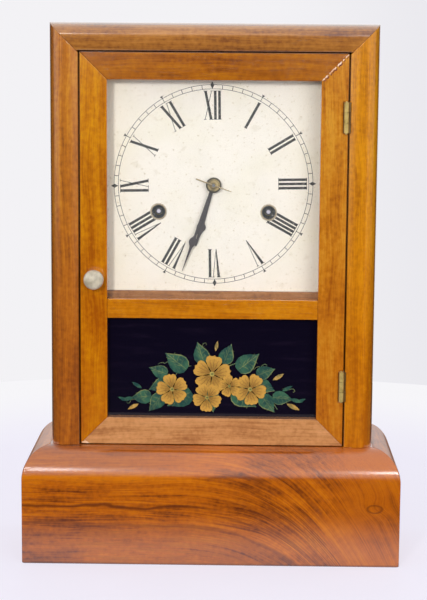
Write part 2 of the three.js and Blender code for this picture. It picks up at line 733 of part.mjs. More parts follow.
function arbor([x, z], radius = arborRadius) {
  return join(
    rod(radius, ...betweenPlates, x, z, arborSides),
    rod(pivot.radius, -pivot.showing, platesBack + pivot.showing, x, z, arborSides),
  );
}

// Plates, with the pillars riveted to the back one and the suspension's cock on it

function plateOutline() {
  const { halfWidth, below, above, shoulder } = plates;
  return outlined([
    [-halfWidth, -below], [halfWidth, -below], [halfWidth, above - shoulder], [halfWidth - shoulder, above],
    [-halfWidth + shoulder, above], [-halfWidth, above - shoulder],
  ]);
}

const pivotPlaces = [secondAt, escapeAt, thirdAt, vergeAt, pinAt, lockAt, flyAt, hammerAt];

function platePierced(y) {
  const holes = pivotPlaces.map(([x, z]) => [x, z, pivot.radius + pivot.fit]);
  const [large, middle] = [winding.arbor + winding.fit, centreArbor.radius + pivot.fit];
  const windingBore = y > 0 ? winding.backPivot + winding.fit : large;
  holes.push([...timeWinding, windingBore], [...strikeWinding, windingBore], [...centre, middle]);
  const sheet = plate(plateOutline(), y, plates.thickness);
  const [from, to] = [y - cutPast, y + plates.thickness + cutPast];
  return cut(sheet, ...holes.map(([x, z, r]) => rod(r, from, to, x, z, arborSides)));
}

const pillarX = plates.halfWidth - plates.pillarInset;
const pillarTop = plates.above - plates.shoulder - plates.pillarInset;
const pillars = [[-1, -1], [1, -1], [-1, 1], [1, 1]].map(([sideX, sideZ]) => {
  const z = sideZ < 0 ? -plates.below + plates.pillarInset : pillarTop;
  return rod(plates.pillar, plates.thickness, platesBack - plates.thickness, sideX * pillarX, z, arborSides);
});
const backPlate = platesBack - plates.thickness;
piece('movement_front_plate', join(
  platePierced(0), rod(minuteStud.radius, planes.hourWheel - minuteStud.nose, 0, ...minuteAt, arborSides),
), 'brass', movement);
piece('movement_back_plate', join(platePierced(backPlate), ...pillars), 'brass', movement);

// Cock: a bracket behind the back plate whose slot holds the suspension spring's top

const cockBottom = vergeAt[1] + pendulum.springTop + cock.clearance;
const cockBack = pendulumY + pendulum.springWidth / 2 + cock.pastSpring;
const cockBlock = block([-cock.width / 2, cock.width / 2], [platesBack, cockBack], [
  cockBottom, cockBottom + cock.height,
]);
piece('pendulum_cock', cockBlock, 'brass', movement);

// Winding: a great wheel that rides on the winding arbor, with the ratchet and click between them

const ratchetY = planes.great - winding.ratchetThickness - winding.ratchetGap;

function ratchetOutline() {
  return Array.from({ length: ratchetTeeth }, (_, i) => (i / ratchetTeeth) * FULL_TURN).flatMap((turn) => [
    polar(winding.ratchetRadius * ratchetDepthShare, turn), polar(winding.ratchetRadius, turn),
  ]);
}

const squareFront = dialBack + winding.behindDial - platesY;

function windingArbor([x, z], collarFront) {
  const half = winding.square / 2;
  const collarBack = collarFront + winding.collarThickness;
  return join(
    rod(winding.arbor, -touchGap, collarBack, x, z),
    rod(winding.backPivot, planes.great, platesBack + pivot.showing, x, z),
    block([x - half, x + half], [squareFront, 0], [z - half, z + half]),
    plate(outlined(ratchetOutline()), ratchetY, winding.ratchetThickness, x, z),
    rod(winding.collar, collarFront, collarBack, x, z),
  );
}

// The click stands on the great wheel's face, clear of the ratchet's points

function clickOn([x, z]) {
  const low = winding.ratchetRadius + click.clearance;
  const arm = block([x - click.length / 2, x + click.length / 2], [ratchetY, planes.great - click.lift], [
    z + low, z + low + click.width,
  ]);
  const stud = rod(click.stud, ratchetY, planes.great, x, z + low + click.width / 2, thinSides);
  return join(arm, stud);
}

function greatWheel(teeth, module, phase, place) {
  const hub = winding.ratchetRadius + click.width;
  const toothed = wheel(teeth, module, phase, planes.great, greatThickness, place, hub);
  const [from, to] = [planes.great - cutPast, planes.great + greatThickness + cutPast];
  const bore = rod(winding.arbor + winding.fit, from, to, ...place);
  return join(cut(toothed, bore), clickOn(place));
}

function coiledSpring([x, z], hand) {
  const along = mainspringTurns * stepsPerTurn;
  const edge = (offset) => Array.from({ length: along + 1 }, (_, i) => {
    const share = i / along;
    const radius = mainspring.inner + (mainspring.outer - mainspring.inner) * share + offset;
    return polar(radius, hand * share * mainspringTurns * FULL_TURN);
  });
  const outline = [...edge(mainspring.thickness), ...edge(0).reverse()];
  return plate(outlined(outline), mainspring.front, mainspring.width, x, z);
}

const springPitch = (mainspring.outer - mainspring.inner) / mainspringTurns;
const springGap = springPitch - mainspring.thickness;
console.log(`least gap in a mainspring: ${springGap.toFixed(2)} mm`);

const greatBack = planes.great + greatThickness;
const timePhase = 0;
const strikePhase = 0;
const timeGreat = greatWheel(counts.timeGreatTeeth, modules.timeGreat, timePhase, timeWinding);
piece('time_great_wheel', timeGreat, 'brass', movement);
piece('time_winding_arbor', windingArbor(timeWinding, greatBack + touchGap), 'steel', movement);
piece('time_mainspring', coiledSpring(timeWinding, 1), 'steel', movement);

// Count wheel: two rounds of twelve hours, a slot after each hour's blows

function countOutline() {
  const hours = Array.from({ length: countHours }, (_, i) => (i % strikeHours) + 1);
  const blows = hours.reduce((sum, hour) => sum + hour, 0);
  const unit = FULL_TURN / blows;
  let struck = 0;
  return hours.flatMap((hour) => {
    const start = struck * unit;
    struck += hour;
    const slot = start + unit * countSlotShare;
    const end = struck * unit;
    const low = countWheel.radius - countWheel.slotDepth;
    const parts = Math.ceil(hour / blowsPerStep);
    const high = Array.from({ length: parts }, (_, i) => slot + ((end - slot) * i) / parts);
    return [polar(low, start), polar(low, slot), ...high.map((turn) => polar(countWheel.radius, turn)),
      polar(countWheel.radius, end)];
  });
}

const countBack = planes.count + countWheel.thickness;

function strikeGreatWheel() {
  const bore = winding.arbor + winding.fit;
  const hub = ring(bore, winding.collar, greatBack, countBack, ...strikeWinding);
  const count = cut(
    plate(outlined(countOutline()), planes.count, countWheel.thickness, ...strikeWinding),
    rod(bore, planes.count - cutPast, countBack + cutPast, ...strikeWinding),
  );
  const great = greatWheel(counts.strikeGreatTeeth, modules.strikeGreat, strikePhase, strikeWinding);
  return join(great, hub, count);
}

piece('strike_great_wheel', strikeGreatWheel(), 'brass', movement);
piece('strike_winding_arbor', windingArbor(strikeWinding, countBack + touchGap), 'steel', movement);
piece('strike_mainspring', coiledSpring(strikeWinding, -1), 'steel', movement);

// Time train

const secondPhase = meshedPhase(
  timePhase, counts.timeGreatTeeth, counts.secondPinionTeeth, bearing(timeWinding, secondAt),
);
piece('second_wheel', join(
  arbor(secondAt, secondArborRadius),
  pinion(counts.secondPinionTeeth, modules.timeGreat, secondPhase, planes.secondPinion, secondAt),
  wheel(counts.secondTeeth, modules.second, secondPhase, planes.second, wheelThickness, secondAt, wheelHub),
), 'brass', movement);

const centrePhase = meshedPhase(
  secondPhase, counts.secondTeeth, counts.centrePinionTeeth, bearing(secondAt, centre),
);
const centreWheelSolid = join(
  wheel(
    counts.centreTeeth, modules.centre, centrePhase, planes.centre, wheelThickness, centre, centreArbor.hub,
  ),
  pinion(counts.centrePinionTeeth, modules.second, centrePhase, planes.centrePinion, centre),
  rod(centreArbor.collar, planes.centrePinion, planes.centre + wheelThickness, 0, 0),
);
const centreBack = planes.centre + wheelThickness + cutPast;
const centreBore = rod(centreArbor.bore, planes.centrePinion - cutPast, centreBack, 0, 0);
piece('centre_wheel', cut(centreWheelSolid, centreBore), 'brass', movement);

const thirdPhase = meshedPhase(
  centrePhase, counts.centreTeeth, counts.thirdPinionTeeth, bearing(centre, thirdAt),
);
piece('third_wheel', join(
  arbor(thirdAt),
  pinion(counts.thirdPinionTeeth, modules.centre, thirdPhase, planes.thirdPinion, thirdAt),
  wheel(counts.thirdTeeth, modules.third, thirdPhase, planes.third, wheelThickness, thirdAt, wheelHub),
), 'brass', movement);

const escapePhase = meshedPhase(
  thirdPhase, counts.thirdTeeth, counts.escapePinionTeeth, bearing(thirdAt, escapeAt),
);
const escapeToothShares = { root: 0.86, lean: 0.55 };
const escapeRoot = escape.radius * escapeToothShares.root;

function escapeOutline() {
  const pitch = FULL_TURN / counts.escapeTeeth;
  return Array.from({ length: counts.escapeTeeth }, (_, i) => escapePhase + i * pitch).flatMap((turn) => [
    polar(escapeRoot, turn), polar(escape.radius, turn + pitch * escapeToothShares.lean),
  ]);
}

const escapeShape = withArms(outlined(escapeOutline()), wheelHub, escapeRoot - wheelThickness);
piece('escape_wheel', join(
  arbor(escapeAt, pivot.radius),
  pinion(counts.escapePinionTeeth, modules.third, escapePhase, planes.escapePinion, escapeAt),
  plate(escapeShape, planes.escape, escape.thickness, ...escapeAt),
), 'brass', movement);

// Verge: an arbor with an arched strip over the escape wheel and a crutch behind the back plate

function archOutline() {
  const arc = (radius) => Array.from({ length: archSteps + 1 }, (_, i) => {
    const turn = Math.PI / 2 + vergeTurn * (1 - (2 * i) / archSteps);
    return polar(radius, turn);
  });
  return outlined([...arc(archRadius), ...arc(archRadius + verge.archThickness).reverse()]);
}

const crutchY = platesBack + crutch.behind;
const crutchEnd = vergeAt[1] - crutch.drop;
const prong = pendulum.rod + crutch.prongGap + crutch.wire;

const prongBack = pendulumY + pendulum.rod + crutch.prongPast;

function crutchProng(side) {
  const x = side * prong;
  return block([x - crutch.wire, x + crutch.wire], [crutchY - crutch.wire, prongBack], [
    crutchEnd - crutch.wire, crutchEnd + crutch.wire,
  ]);
}

piece('verge', join(
  rod(verge.hub, ...betweenPlates, ...vergeAt, arborSides),
  rod(pivot.radius, -pivot.showing, crutchY + crutch.wire, ...vergeAt, arborSides),
  plate(archOutline(), planes.escape, escape.thickness, ...escapeAt),
  upright(crutch.wire, crutchEnd, vergeAt[1] + crutch.wire, 0, crutchY, thinSides),
  block([-prong, prong], [crutchY - crutch.wire, crutchY + crutch.wire], [
    crutchEnd - crutch.wire, crutchEnd + crutch.wire,
  ]),
  crutchProng(-1), crutchProng(1),
), 'steel', movement);

// Pendulum: a suspension spring, a rod through the crutch's fork, a bob and its rating nut

const springTopZ = vergeAt[1] + pendulum.springTop;
const springFoot = springTopZ - pendulum.springLength;
const bobAt = base.height + pendulum.bobAboveBase - dialCentre;
const rodEnd = bobAt - pendulum.screwEnd;
const halfSpring = pendulum.springWidth / 2;
piece('pendulum_rod', join(
  block([-pendulum.spring / 2, pendulum.spring / 2], [pendulumY - halfSpring, pendulumY + halfSpring], [
    springFoot - pendulum.block, springTopZ,
  ]),
  block([-pendulum.block / 2, pendulum.block / 2], [pendulumY - halfSpring, pendulumY + halfSpring], [
    springFoot - pendulum.block, springFoot,
  ]),
  upright(pendulum.rod, rodEnd, springFoot, 0, pendulumY, thinSides),
), 'steel', movement);

const bobHalf = pendulum.bobThickness / 2;
const bobRound = quarterShares(bobSteps).map(([c, s]) => [
  pendulum.bob * c, (bobHalf - pendulum.bobRim / 2) * s + pendulum.bobRim / 2,
]);
const bobProfile = [...bobRound.map(([r, y]) => [r, -y]).reverse(), ...bobRound];
const bobSolid = turned(bobProfile.map(([r, y]) => [r, y + pendulumY]), 0, bobAt, bobSides);
const rodRoom = pendulum.rod + pivot.fit;
const bobEnds = [bobAt - pendulum.bob - cutPast, bobAt + pendulum.bob + cutPast];
const bobBore = upright(rodRoom, ...bobEnds, 0, pendulumY, thinSides);
const nutTop = bobAt - pendulum.bob;
const nutFoot = nutTop - pendulum.nutLength;
const ratingNut = cut(
  upright(pendulum.nut, nutFoot, nutTop, 0, pendulumY),
  upright(rodRoom, nutFoot - cutPast, nutTop + cutPast, 0, pendulumY, thinSides),
);
piece('pendulum_bob', cut(bobSolid, bobBore), 'brass', movement);
piece('rating_nut', ratingNut, 'brass', movement);

// Centre arbor with the cannon pinion, which turn inside the centre wheel when the hands are set

const cannonPhase = 0;
const handsY = dialY - dial.rimProud - platesY;
const hourHandY = handsY - handGaps.dial - hourHand.thickness;
const pipeFront = hourHandY - handGaps.pipeNose;
const minuteHandY = pipeFront - touchGap - minuteHand.thickness;
const washerY = minuteHandY - washer.thickness;
const pinY = washerY - taperPin.thick - gripFit;
const arborFront = pinY - handGaps.pastPin;
const minuteShoulder = minuteHandY + minuteHand.thickness;

// A round pin across the arbor's nose, tilted as it was pushed in

function crossPin(thin, thick, length) {
  const pin = new THREE.CylinderGeometry(thin, thick, length, thinSides);
  pin.rotateZ(Math.PI / 2);
  pin.rotateY(-taperPin.turn);
  pin.translate(0, pinY, 0);
  return solid(pin);
}

const pinBoreRadius = taperPin.thick + taperPin.fit;
const pinBore = crossPin(pinBoreRadius, pinBoreRadius, taperPin.length);

const arborJoint = betweenPlates[1];
const slipFront = planes.centrePinion - centreArbor.slipDepth;
piece('centre_arbor', cut(join(
  rod(centreArbor.radius, -touchGap, arborJoint, 0, 0),
  rod(centreArbor.radius, arborJoint - touchGap, platesBack + pivot.showing, 0, 0),
  rod(centreArbor.slipWasher, slipFront, planes.centrePinion - touchGap, 0, 0),
  pinion(counts.cannonTeeth, modules.cannon, cannonPhase, planes.cannon, centre),
  rod(centreArbor.pipeInside, minuteShoulder, 0, 0, 0),
  rod(centreArbor.tip, arborFront, minuteShoulder, 0, 0),
), pinBore), 'steel', movement);

const minutePhase = meshedPhase(
  cannonPhase, counts.cannonTeeth, counts.minuteTeeth, bearing(centre, minuteAt),
);
const minuteBack = planes.minuteWheel + wheelThickness;
const minuteBoreEnds = [planes.minutePinion - cutPast, minuteBack + cutPast];
const minuteBore = rod(minuteStud.radius + minuteStud.fit, ...minuteBoreEnds, ...minuteAt, arborSides);
const minuteLeaves = minuteBack - wheelThickness / 2 - planes.minutePinion;
piece('minute_wheel', cut(join(
  wheel(counts.minuteTeeth, modules.cannon, minutePhase, planes.minuteWheel, wheelThickness, minuteAt, 0),
  pinion(counts.minutePinionTeeth, modules.hour, minutePhase, planes.minutePinion, minuteAt, minuteLeaves),
), minuteBore), 'brass', movement);

const hourPhase = meshedPhase(
  minutePhase, counts.minutePinionTeeth, counts.hourTeeth, bearing(minuteAt, centre),
);
const hourBack = planes.hourWheel + wheelThickness;
piece('hour_wheel', cut(join(
  wheel(counts.hourTeeth, modules.hour, hourPhase, planes.hourWheel, wheelThickness, centre, 0),
  rod(hourPipe.outer, pipeFront, hourBack, 0, 0),
), rod(hourPipe.inner, pipeFront - cutPast, hourBack + cutPast, 0, 0)), 'brass', movement);

// Hands: a boss, a straight shaft and a spade blade that tapers to a needle

function handOutline({ length, blade, bladeAt, shaft, boss }) {
  const half = shaft / 2;
  const shoulder = bladeAt - handShape.bladeHeadLength;
  const waist = bladeAt + handShape.bladeTailLength;
  const side = [
    [half, Math.sqrt(boss ** 2 - half ** 2)], [half, shoulder - handShape.bladeHeadLength / 2],
    [blade / 2 - half / 2, shoulder], [blade / 2, bladeAt - handShape.bladeHeadLength / 2],
    [blade / 2 - half / 2, bladeAt], [half, (bladeAt + waist) / 2], [handShape.needle / 2, waist],
  ];
  const left = side.map(([x, z]) => [-x, z]).reverse();
  const open = Math.asin(half / boss);
  const bossArc = Array.from({ length: bossSteps + 1 }, (_, i) => {
    const turn = Math.PI / 2 + open + (i / bossSteps) * (FULL_TURN - 2 * open);
    return polar(boss, turn);
  });
  return outlined([...side, [0, length], ...left, ...bossArc.slice(1, bossSteps)]);
}

function hand(sizes, y, turn, bore) {
  const flat = plate(handOutline(sizes), y, sizes.thickness, 0, 0, -turn);
  return cut(flat, rod(bore, y - cutPast, y + sizes.thickness + cutPast, 0, 0));
}

// The hour hand's collar grips the pipe, and the minute hand sits against the arbor's shoulder

piece('hour_hand', hand(hourHand, hourHandY, hourTurn, hourPipe.outer + gripFit), 'dark', movement);
const minuteLength = dial.height / 2 - minuteHand.shortOfEdge;
const nose = centreArbor.tip + gripFit;
const minuteSizes = { ...minuteHand, length: minuteLength };
piece('minute_hand', hand(minuteSizes, minuteHandY, minuteTurn, nose), 'dark', movement);
piece('hand_washer', ring(nose, washer.radius, washerY, minuteHandY, 0, 0), 'brass', movement);
piece('hand_pin', crossPin(taperPin.thin, taperPin.thick, taperPin.length), 'steel', movement);

// Strike train

const pinBearing = bearing(strikeWinding, pinAt);
const pinPhase = meshedPhase(strikePhase, counts.strikeGreatTeeth, counts.pinPinionTeeth, pinBearing);
const liftingPinFront = planes.second - liftingPin.length;
const pins = Array.from({ length: liftingPins }, (_, i) => {
  const [x, z] = outFrom(pinAt, pinCircle, pinPhase + (i / liftingPins) * FULL_TURN);
  return rod(liftingPin.radius, liftingPinFront, planes.second + wheelThickness / 2, x, z, wireSides);
});
const pinWheelRim = pinCircle - liftingPin.radius - liftingPin.land;
const pinWheelShape = outlined(toothedOutline(counts.pinTeeth, modules.strike, pinPhase));
piece('pin_wheel', join(
  arbor(pinAt),
  pinion(counts.pinPinionTeeth, modules.strikeGreat, pinPhase, planes.secondPinion, pinAt),
  plate(withArms(pinWheelShape, wheelHub, pinWheelRim), planes.second, wheelThickness, ...pinAt),
  ...pins,
), 'brass', movement);

const lockPhase = meshedPhase(pinPhase, counts.pinTeeth, counts.lockPinionTeeth, bearing(pinAt, lockAt));
piece('lock_wheel', join(
  arbor(lockAt),
  pinion(counts.lockPinionTeeth, modules.strike, lockPhase, planes.centrePinion, lockAt),
  wheel(counts.lockTeeth, modules.strike, lockPhase, planes.lock, wheelThickness, lockAt, wheelHub),
), 'brass', movement);

const flyPhase = meshedPhase(lockPhase, counts.lockTeeth, counts.flyPinionTeeth, bearing(lockAt, flyAt));
piece('fly', join(
  arbor(flyAt, pivot.radius),
  pinion(counts.flyPinionTeeth, modules.strike, flyPhase, planes.flyPinion, flyAt),
  block([flyAt[0] - fly.reach, flyAt[0] + fly.reach], [planes.flyBlade, planes.flyBlade + fly.length], [
    flyAt[1] - fly.blade / 2, flyAt[1] + fly.blade / 2,
  ]),
), 'brass', movement);

// Hammer: a tail beside the lifting pins, and a long rod down to the head beside the gong

const headTip = -gong.outer - gong.wire - hammer.gongGap;
const headZ = gongCentre - dialCentre;
const headProfile = [[0, 0], [hammer.head, 0], [hammer.head, hammer.headLength], [0, hammer.headLength]];
const headPlace = [headTip - hammer.headLength, hammer.rodPlane, headZ];
const rodTop = new THREE.Vector3(hammerAt[0], hammer.rodPlane, hammerAt[1]);
const rodFoot = new THREE.Vector3(headTip - hammer.headLength / 2, hammer.rodPlane, headZ);
const hubEnds = [hammer.rodPlane - hammer.rod, hammer.rodPlane + hammer.rod];
const tailZ = [hammerAt[1] - hammer.tailWidth / 2, hammerAt[1] + hammer.tailWidth / 2];
piece('hammer', join(
  arbor(hammerAt, hammer.arbor),
  rod(hammer.hub, ...hubEnds, ...hammerAt, arborSides),
  tube(new THREE.LineCurve3(rodTop, rodFoot), hammer.rod, 1, thinSides),
  turned(headProfile, 0, 0).rotate([0, 0, -90]).translate(headPlace),
  block([hammerAt[0], hammerAt[0] + hammer.tailReach], [liftingPinFront, planes.second - touchGap], tailZ),
), 'steel', movement);

// Gong: one wire coiled flat, bent back at its inner end to stand on an iron foot

const footFront = innerBackY - gong.footThickness;
const bend = gong.wire * gongBendShare;

function gongPath() {
  const straight = [footFront, gongY + bend].map((y) => new THREE.Vector3(gong.inner, y, 0));
  const corner = quarterShares(bendSteps).slice(1).map(([c, s]) => new THREE.Vector3(
    gong.inner, gongY + bend * (1 - s), bend * (1 - c),
  ));
  const along = gongTurns * gongSteps;
  const coil = Array.from({ length: along }, (_, i) => (i + 1) / along).map((share) => {
    const [x, z] = polar(gong.inner + (gong.outer - gong.inner) * share, share * gongTurns * FULL_TURN);
    return new THREE.Vector3(x, gongY, z);
  });
  return [...straight, ...corner, ...coil.slice(1)];
}

class StepCurve extends THREE.Curve {
  constructor(points) {
    super();
    this.points = points;
  }

  getPoint(t, target = new THREE.Vector3()) {
    const place = t * (this.points.length - 1);
    const index = Math.min(Math.floor(place), this.points.length - 2);
    return target.copy(this.points[index]).lerp(this.points[index + 1], place - index);
  }

  getPointAt(t, target) {
    return this.getPoint(t, target);
  }

  getTangentAt(t, target) {
    return this.getTangent(t, target);
  }
}

const gongPoints = gongPath();
const gongCoil = tube(new StepCurve(gongPoints), gong.wire, gongPoints.length - 1, wireSides);

// The least gap between two turns, measured on the path's points less the wire's thickness

function leastGap(points, thickness) {
  let least = Infinity;
  for (let i = 0; i < points.length; i += 1) {
    for (let j = i + gongSteps / 2; j < points.length; j += 1) {
      least = Math.min(least, points[i].distanceTo(points[j]));
    }
  }
  return least - thickness;
}

console.log(`least gap in the gong: ${leastGap(gongPoints, gong.wire * 2).toFixed(2)} mm`);
piece('gong_coil', gongCoil, 'steel', strikingGong);
piece('gong_foot', rod(gong.foot, footFront, innerBackY, 0, 0, footSides), 'iron', strikingGong);

export default clock;
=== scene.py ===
"""The finished look of a cottage clock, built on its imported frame.

Lengths are given in millimetres and turned into Blender's metres as the pieces are made. X runs to the
right as the clock is looked at, Y runs into it and Z runs up.
"""

import json
import logging
import math
from abc import ABC, abstractmethod
from collections.abc import Callable, Sequence
from dataclasses import dataclass, field
from enum import Enum

import bpy
from mathutils import Matrix, Vector

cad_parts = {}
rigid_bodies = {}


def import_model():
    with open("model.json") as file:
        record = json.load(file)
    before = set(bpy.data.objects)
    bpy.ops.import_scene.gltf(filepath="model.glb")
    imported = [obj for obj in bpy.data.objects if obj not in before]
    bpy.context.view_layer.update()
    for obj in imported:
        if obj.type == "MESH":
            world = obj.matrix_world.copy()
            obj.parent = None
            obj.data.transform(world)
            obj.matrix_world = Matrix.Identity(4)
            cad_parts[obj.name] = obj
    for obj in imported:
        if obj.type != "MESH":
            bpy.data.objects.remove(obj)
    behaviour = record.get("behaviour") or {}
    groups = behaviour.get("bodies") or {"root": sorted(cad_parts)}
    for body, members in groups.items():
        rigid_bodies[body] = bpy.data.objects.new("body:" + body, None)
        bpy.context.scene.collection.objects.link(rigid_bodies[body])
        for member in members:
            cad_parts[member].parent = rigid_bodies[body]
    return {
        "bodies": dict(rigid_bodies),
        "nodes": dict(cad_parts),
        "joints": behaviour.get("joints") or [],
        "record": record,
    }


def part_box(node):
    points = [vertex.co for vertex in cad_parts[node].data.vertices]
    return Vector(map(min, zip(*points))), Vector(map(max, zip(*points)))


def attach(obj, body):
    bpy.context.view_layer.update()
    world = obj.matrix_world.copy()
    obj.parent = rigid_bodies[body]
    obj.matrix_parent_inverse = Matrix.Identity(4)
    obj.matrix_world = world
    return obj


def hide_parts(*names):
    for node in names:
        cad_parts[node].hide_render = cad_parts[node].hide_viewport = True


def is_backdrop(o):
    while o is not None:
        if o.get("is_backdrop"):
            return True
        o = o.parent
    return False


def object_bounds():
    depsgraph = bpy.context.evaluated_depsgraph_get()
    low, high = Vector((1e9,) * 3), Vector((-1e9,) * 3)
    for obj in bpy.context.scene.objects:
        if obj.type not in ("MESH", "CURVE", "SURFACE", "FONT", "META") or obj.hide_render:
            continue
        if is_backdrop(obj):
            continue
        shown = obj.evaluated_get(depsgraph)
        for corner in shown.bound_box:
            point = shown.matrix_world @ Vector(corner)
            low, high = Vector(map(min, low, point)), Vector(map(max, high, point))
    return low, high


LOG = logging.getLogger("clock")
MM = 0.001
# vertices nearer than this become one, in metres
FUSE = 0.002 * MM
# how far a cutter reaches past what it cuts, in millimetres
PAST = 1.0
BLACK = (0.0, 0.0, 0.0)
WHITE = (1.0, 1.0, 1.0)
Colour = tuple[float, float, float]
Point = tuple[float, float, float]
Pair = tuple[float, float]
Spot = tuple[float, float, float, float]
Piece = bpy.types.Object

# places that a shape and a finish share, in millimetres
BASE_DEPTH = 95.2
KNOT_X, KNOT_Z = 112, 42
DOOR_HALF = 90.2
DOOR_END = 348.6
KNUCKLE_X = 88.6
WINDING_X, WINDING_Z = 37.8, 239.9


def linear(value: int) -> float:
    """Turns a share of a colour on a screen, from 0 to 255, into the linear share that a shader takes."""
    share = value / 255
    return share / 12.92 if share <= 0.04045 else ((share + 0.055) / 1.055) ** 2.4


def tone(red: int, green: int, blue: int) -> Colour:
    """Turns a colour as it is seen on a screen into the linear values that a shader takes."""
    return linear(red), linear(green), linear(blue)


class Run(Enum):
    """The way that a board's grain or a metal's brushing runs."""

    ACROSS = "x"
    INWARD = "y"
    UP = "z"


class Figure(Enum):
    """How the growth rings wander over a board."""

    STRAIGHT = "straight"
    FANNED = "fanned"


class Sum:
    """A shader socket that can stand in a sum written in Python."""

    def __init__(self, graph: "Graph", socket: bpy.types.NodeSocket) -> None:
        """Keeps the graph and the socket whose value the sum stands for."""
        self.graph = graph
        self.socket = socket

    def math(self, operation: str, *others: "Sum | float") -> "Sum":
        """Adds a Math node that works on this value and those that follow it."""
        made = self.graph.node("ShaderNodeMath", {"operation": operation}, dict(enumerate((self, *others))))
        return Sum(self.graph, made.outputs[0])

    def __add__(self, other: "Sum | float") -> "Sum":
        """Adds."""
        return self.math("ADD", other)

    __radd__ = __add__

    def __sub__(self, other: "Sum | float") -> "Sum":
        """Takes the other away."""
        return self.math("SUBTRACT", other)

    def __rsub__(self, other: float) -> "Sum":
        """Takes this away from a number."""
        return (self * -1) + other

    def __mul__(self, other: "Sum | float") -> "Sum":
        """Multiplies."""
        return self.math("MULTIPLY", other)

    __rmul__ = __mul__

    def __truediv__(self, other: "Sum | float") -> "Sum":
        """Divides."""
        return self.math("DIVIDE", other)

    def power(self, exponent: float) -> "Sum":
        """Raises to a power."""
        return self.math("POWER", exponent)

    def most(self, other: "Sum | float") -> "Sum":
        """Gives the larger of the two."""
        return self.math("MAXIMUM", other)

    def away_from(self, middle: float) -> "Sum":
        """Gives the distance from a number."""
        return (self - middle).math("ABSOLUTE")

    def rise(self, low: float, high: float) -> "Sum":
        """Goes smoothly from 0 at one value to 1 at another.

        Args:
            low: Where the result is 0.
            high: Where the result is 1.

        Returns:
            The smooth step.
        """
        settings = {"interpolation_type": "SMOOTHSTEP"}
        inputs = {0: self, 1: low, 2: high, 3: 0.0, 4: 1.0}
        return Sum(self.graph, self.graph.node("ShaderNodeMapRange", settings, inputs).outputs[0])


class Graph:
    """The nodes of one material or of the world."""

    def __init__(self, owner: bpy.types.Material | bpy.types.World) -> None:
        """Clears the nodes.

        Args:
            owner: The material or the world that has them.
        """
        self.owner = owner
        self.owner.use_nodes = True
        self.tree = self.owner.node_tree
        self.tree.nodes.clear()

    def node(self, kind: str, settings: dict | None = None, inputs: dict | None = None) -> bpy.types.Node:
        """Makes any node.

        Args:
            kind: The node's type.
            settings: Its own settings, set first. "stops" is a ramp's list of places and colours.
            inputs: Values or links for its sockets, by name or number.

        Returns:
            The node.
        """
        made = self.tree.nodes.new(kind)
        for key, value in (settings or {}).items():
            if key == "stops":
                self.set_stops(made.color_ramp, value)
            else:
                setattr(made, key, value)
        for key, value in (inputs or {}).items():
            self.feed(made.inputs[key], value)
        return made

    @staticmethod
    def set_stops(ramp: bpy.types.ColorRamp, stops: Sequence[tuple[float, Colour]]) -> None:
        """Puts stops on a colour ramp, which starts with two.

        Args:
            ramp: The ramp.
            stops: Pairs of a place and a colour.
        """
        while len(ramp.elements) < len(stops):
            ramp.elements.new(1.0)
        for element, (place, colour) in zip(ramp.elements, stops):
            element.position = place
            element.color = (*colour, 1.0)

    def feed(self, socket: bpy.types.NodeSocket, value: object) -> None:
        """Links a socket to another, or sets its own value.

        Args:
            socket: The socket.
            value: A sum, another node's socket, a colour or a number.
        """
        if isinstance(value, Sum):
            value = value.socket
        if isinstance(value, bpy.types.NodeSocket):
            self.tree.links.new(value, socket)
        elif isinstance(value, tuple) and len(value) == 3 and socket.type == "RGBA":
            socket.default_value = (*value, 1.0)
        else:
            socket.default_value = value

    def millimetres(self, centre: Point = (0.0, 0.0, 0.0)) -> tuple[Sum, Sum, Sum]:
        """Gives the place on the object in millimetres.

        Args:
            centre: The place that counts as the middle, in millimetres.

        Returns:
            The three sums for X, Y and Z.
        """
        place = self.node("ShaderNodeTexCoord").outputs["Object"]
        start = tuple(-value for value in centre)
        inputs = {"Vector": place, "Location": start, "Scale": (1 / MM,) * 3}
        mapped = self.node("ShaderNodeMapping", {"vector_type": "POINT"}, inputs)
        split = self.node("ShaderNodeSeparateXYZ", None, {0: mapped.outputs[0]})
        return tuple(Sum(self, split.outputs[axis]) for axis in range(3))

    def noise(
        self, x: Sum | float, y: Sum | float, z: Sum | float, detail: float = 2.0, rough: float = 0.5,
    ) -> Sum:
        """Gives a cloudy pattern between 0 and 1.

        Args:
            x: The first place in the pattern.
            y: The second.
            z: The third.
            detail: How many finer layers it has.
            rough: How strong those are.

        Returns:
            The pattern.
        """
        place = self.node("ShaderNodeCombineXYZ", None, {0: x, 1: y, 2: z})
        inputs = {"Vector": place.outputs[0], "Scale": 1.0, "Detail": detail, "Roughness": rough}
        return Sum(self, self.node("ShaderNodeTexNoise", None, inputs).outputs[0])

    def blend(self, share: Sum | float, first: object, second: object) -> bpy.types.NodeSocket:
        """Mixes two colours.

        Args:
            share: How much of the second shows.
            first: A colour or a colour socket.
            second: A colour or a colour socket.

        Returns:
            The mixed colour's socket.
        """
        inputs = {0: share, 6: first, 7: second}
        settings = {"data_type": "RGBA", "clamp_factor": True}
        return self.node("ShaderNodeMix", settings, inputs).outputs[2]

    def bump(self, height: Sum, depth: float, strength: float = 1.0) -> bpy.types.NodeSocket:
        """Gives a normal that follows a height, where a height of 1 is so many millimetres deep."""
        inputs = {"Height": height, "Distance": depth * MM, "Strength": strength}
        return self.node("ShaderNodeBump", None, inputs).outputs[0]

    def surface(self, inputs: dict) -> bpy.types.Material:
        """Ends the material in one shader.

        Args:
            inputs: Values or links for the shader's sockets.

        Returns:
            The finished material.
        """
        shader = self.node("ShaderNodeBsdfPrincipled", None, inputs)
        self.node("ShaderNodeOutputMaterial", None, {0: shader.outputs[0]})
        return self.owner


# A mask that darkens a surface: painted shade along the door's gap, beside the hinges' knuckles and round
# the winding arbors' painted highlight, and a plain darkening of the base's foot and front.
Darkening = Callable[[Sum, Sum, Sum], Sum]


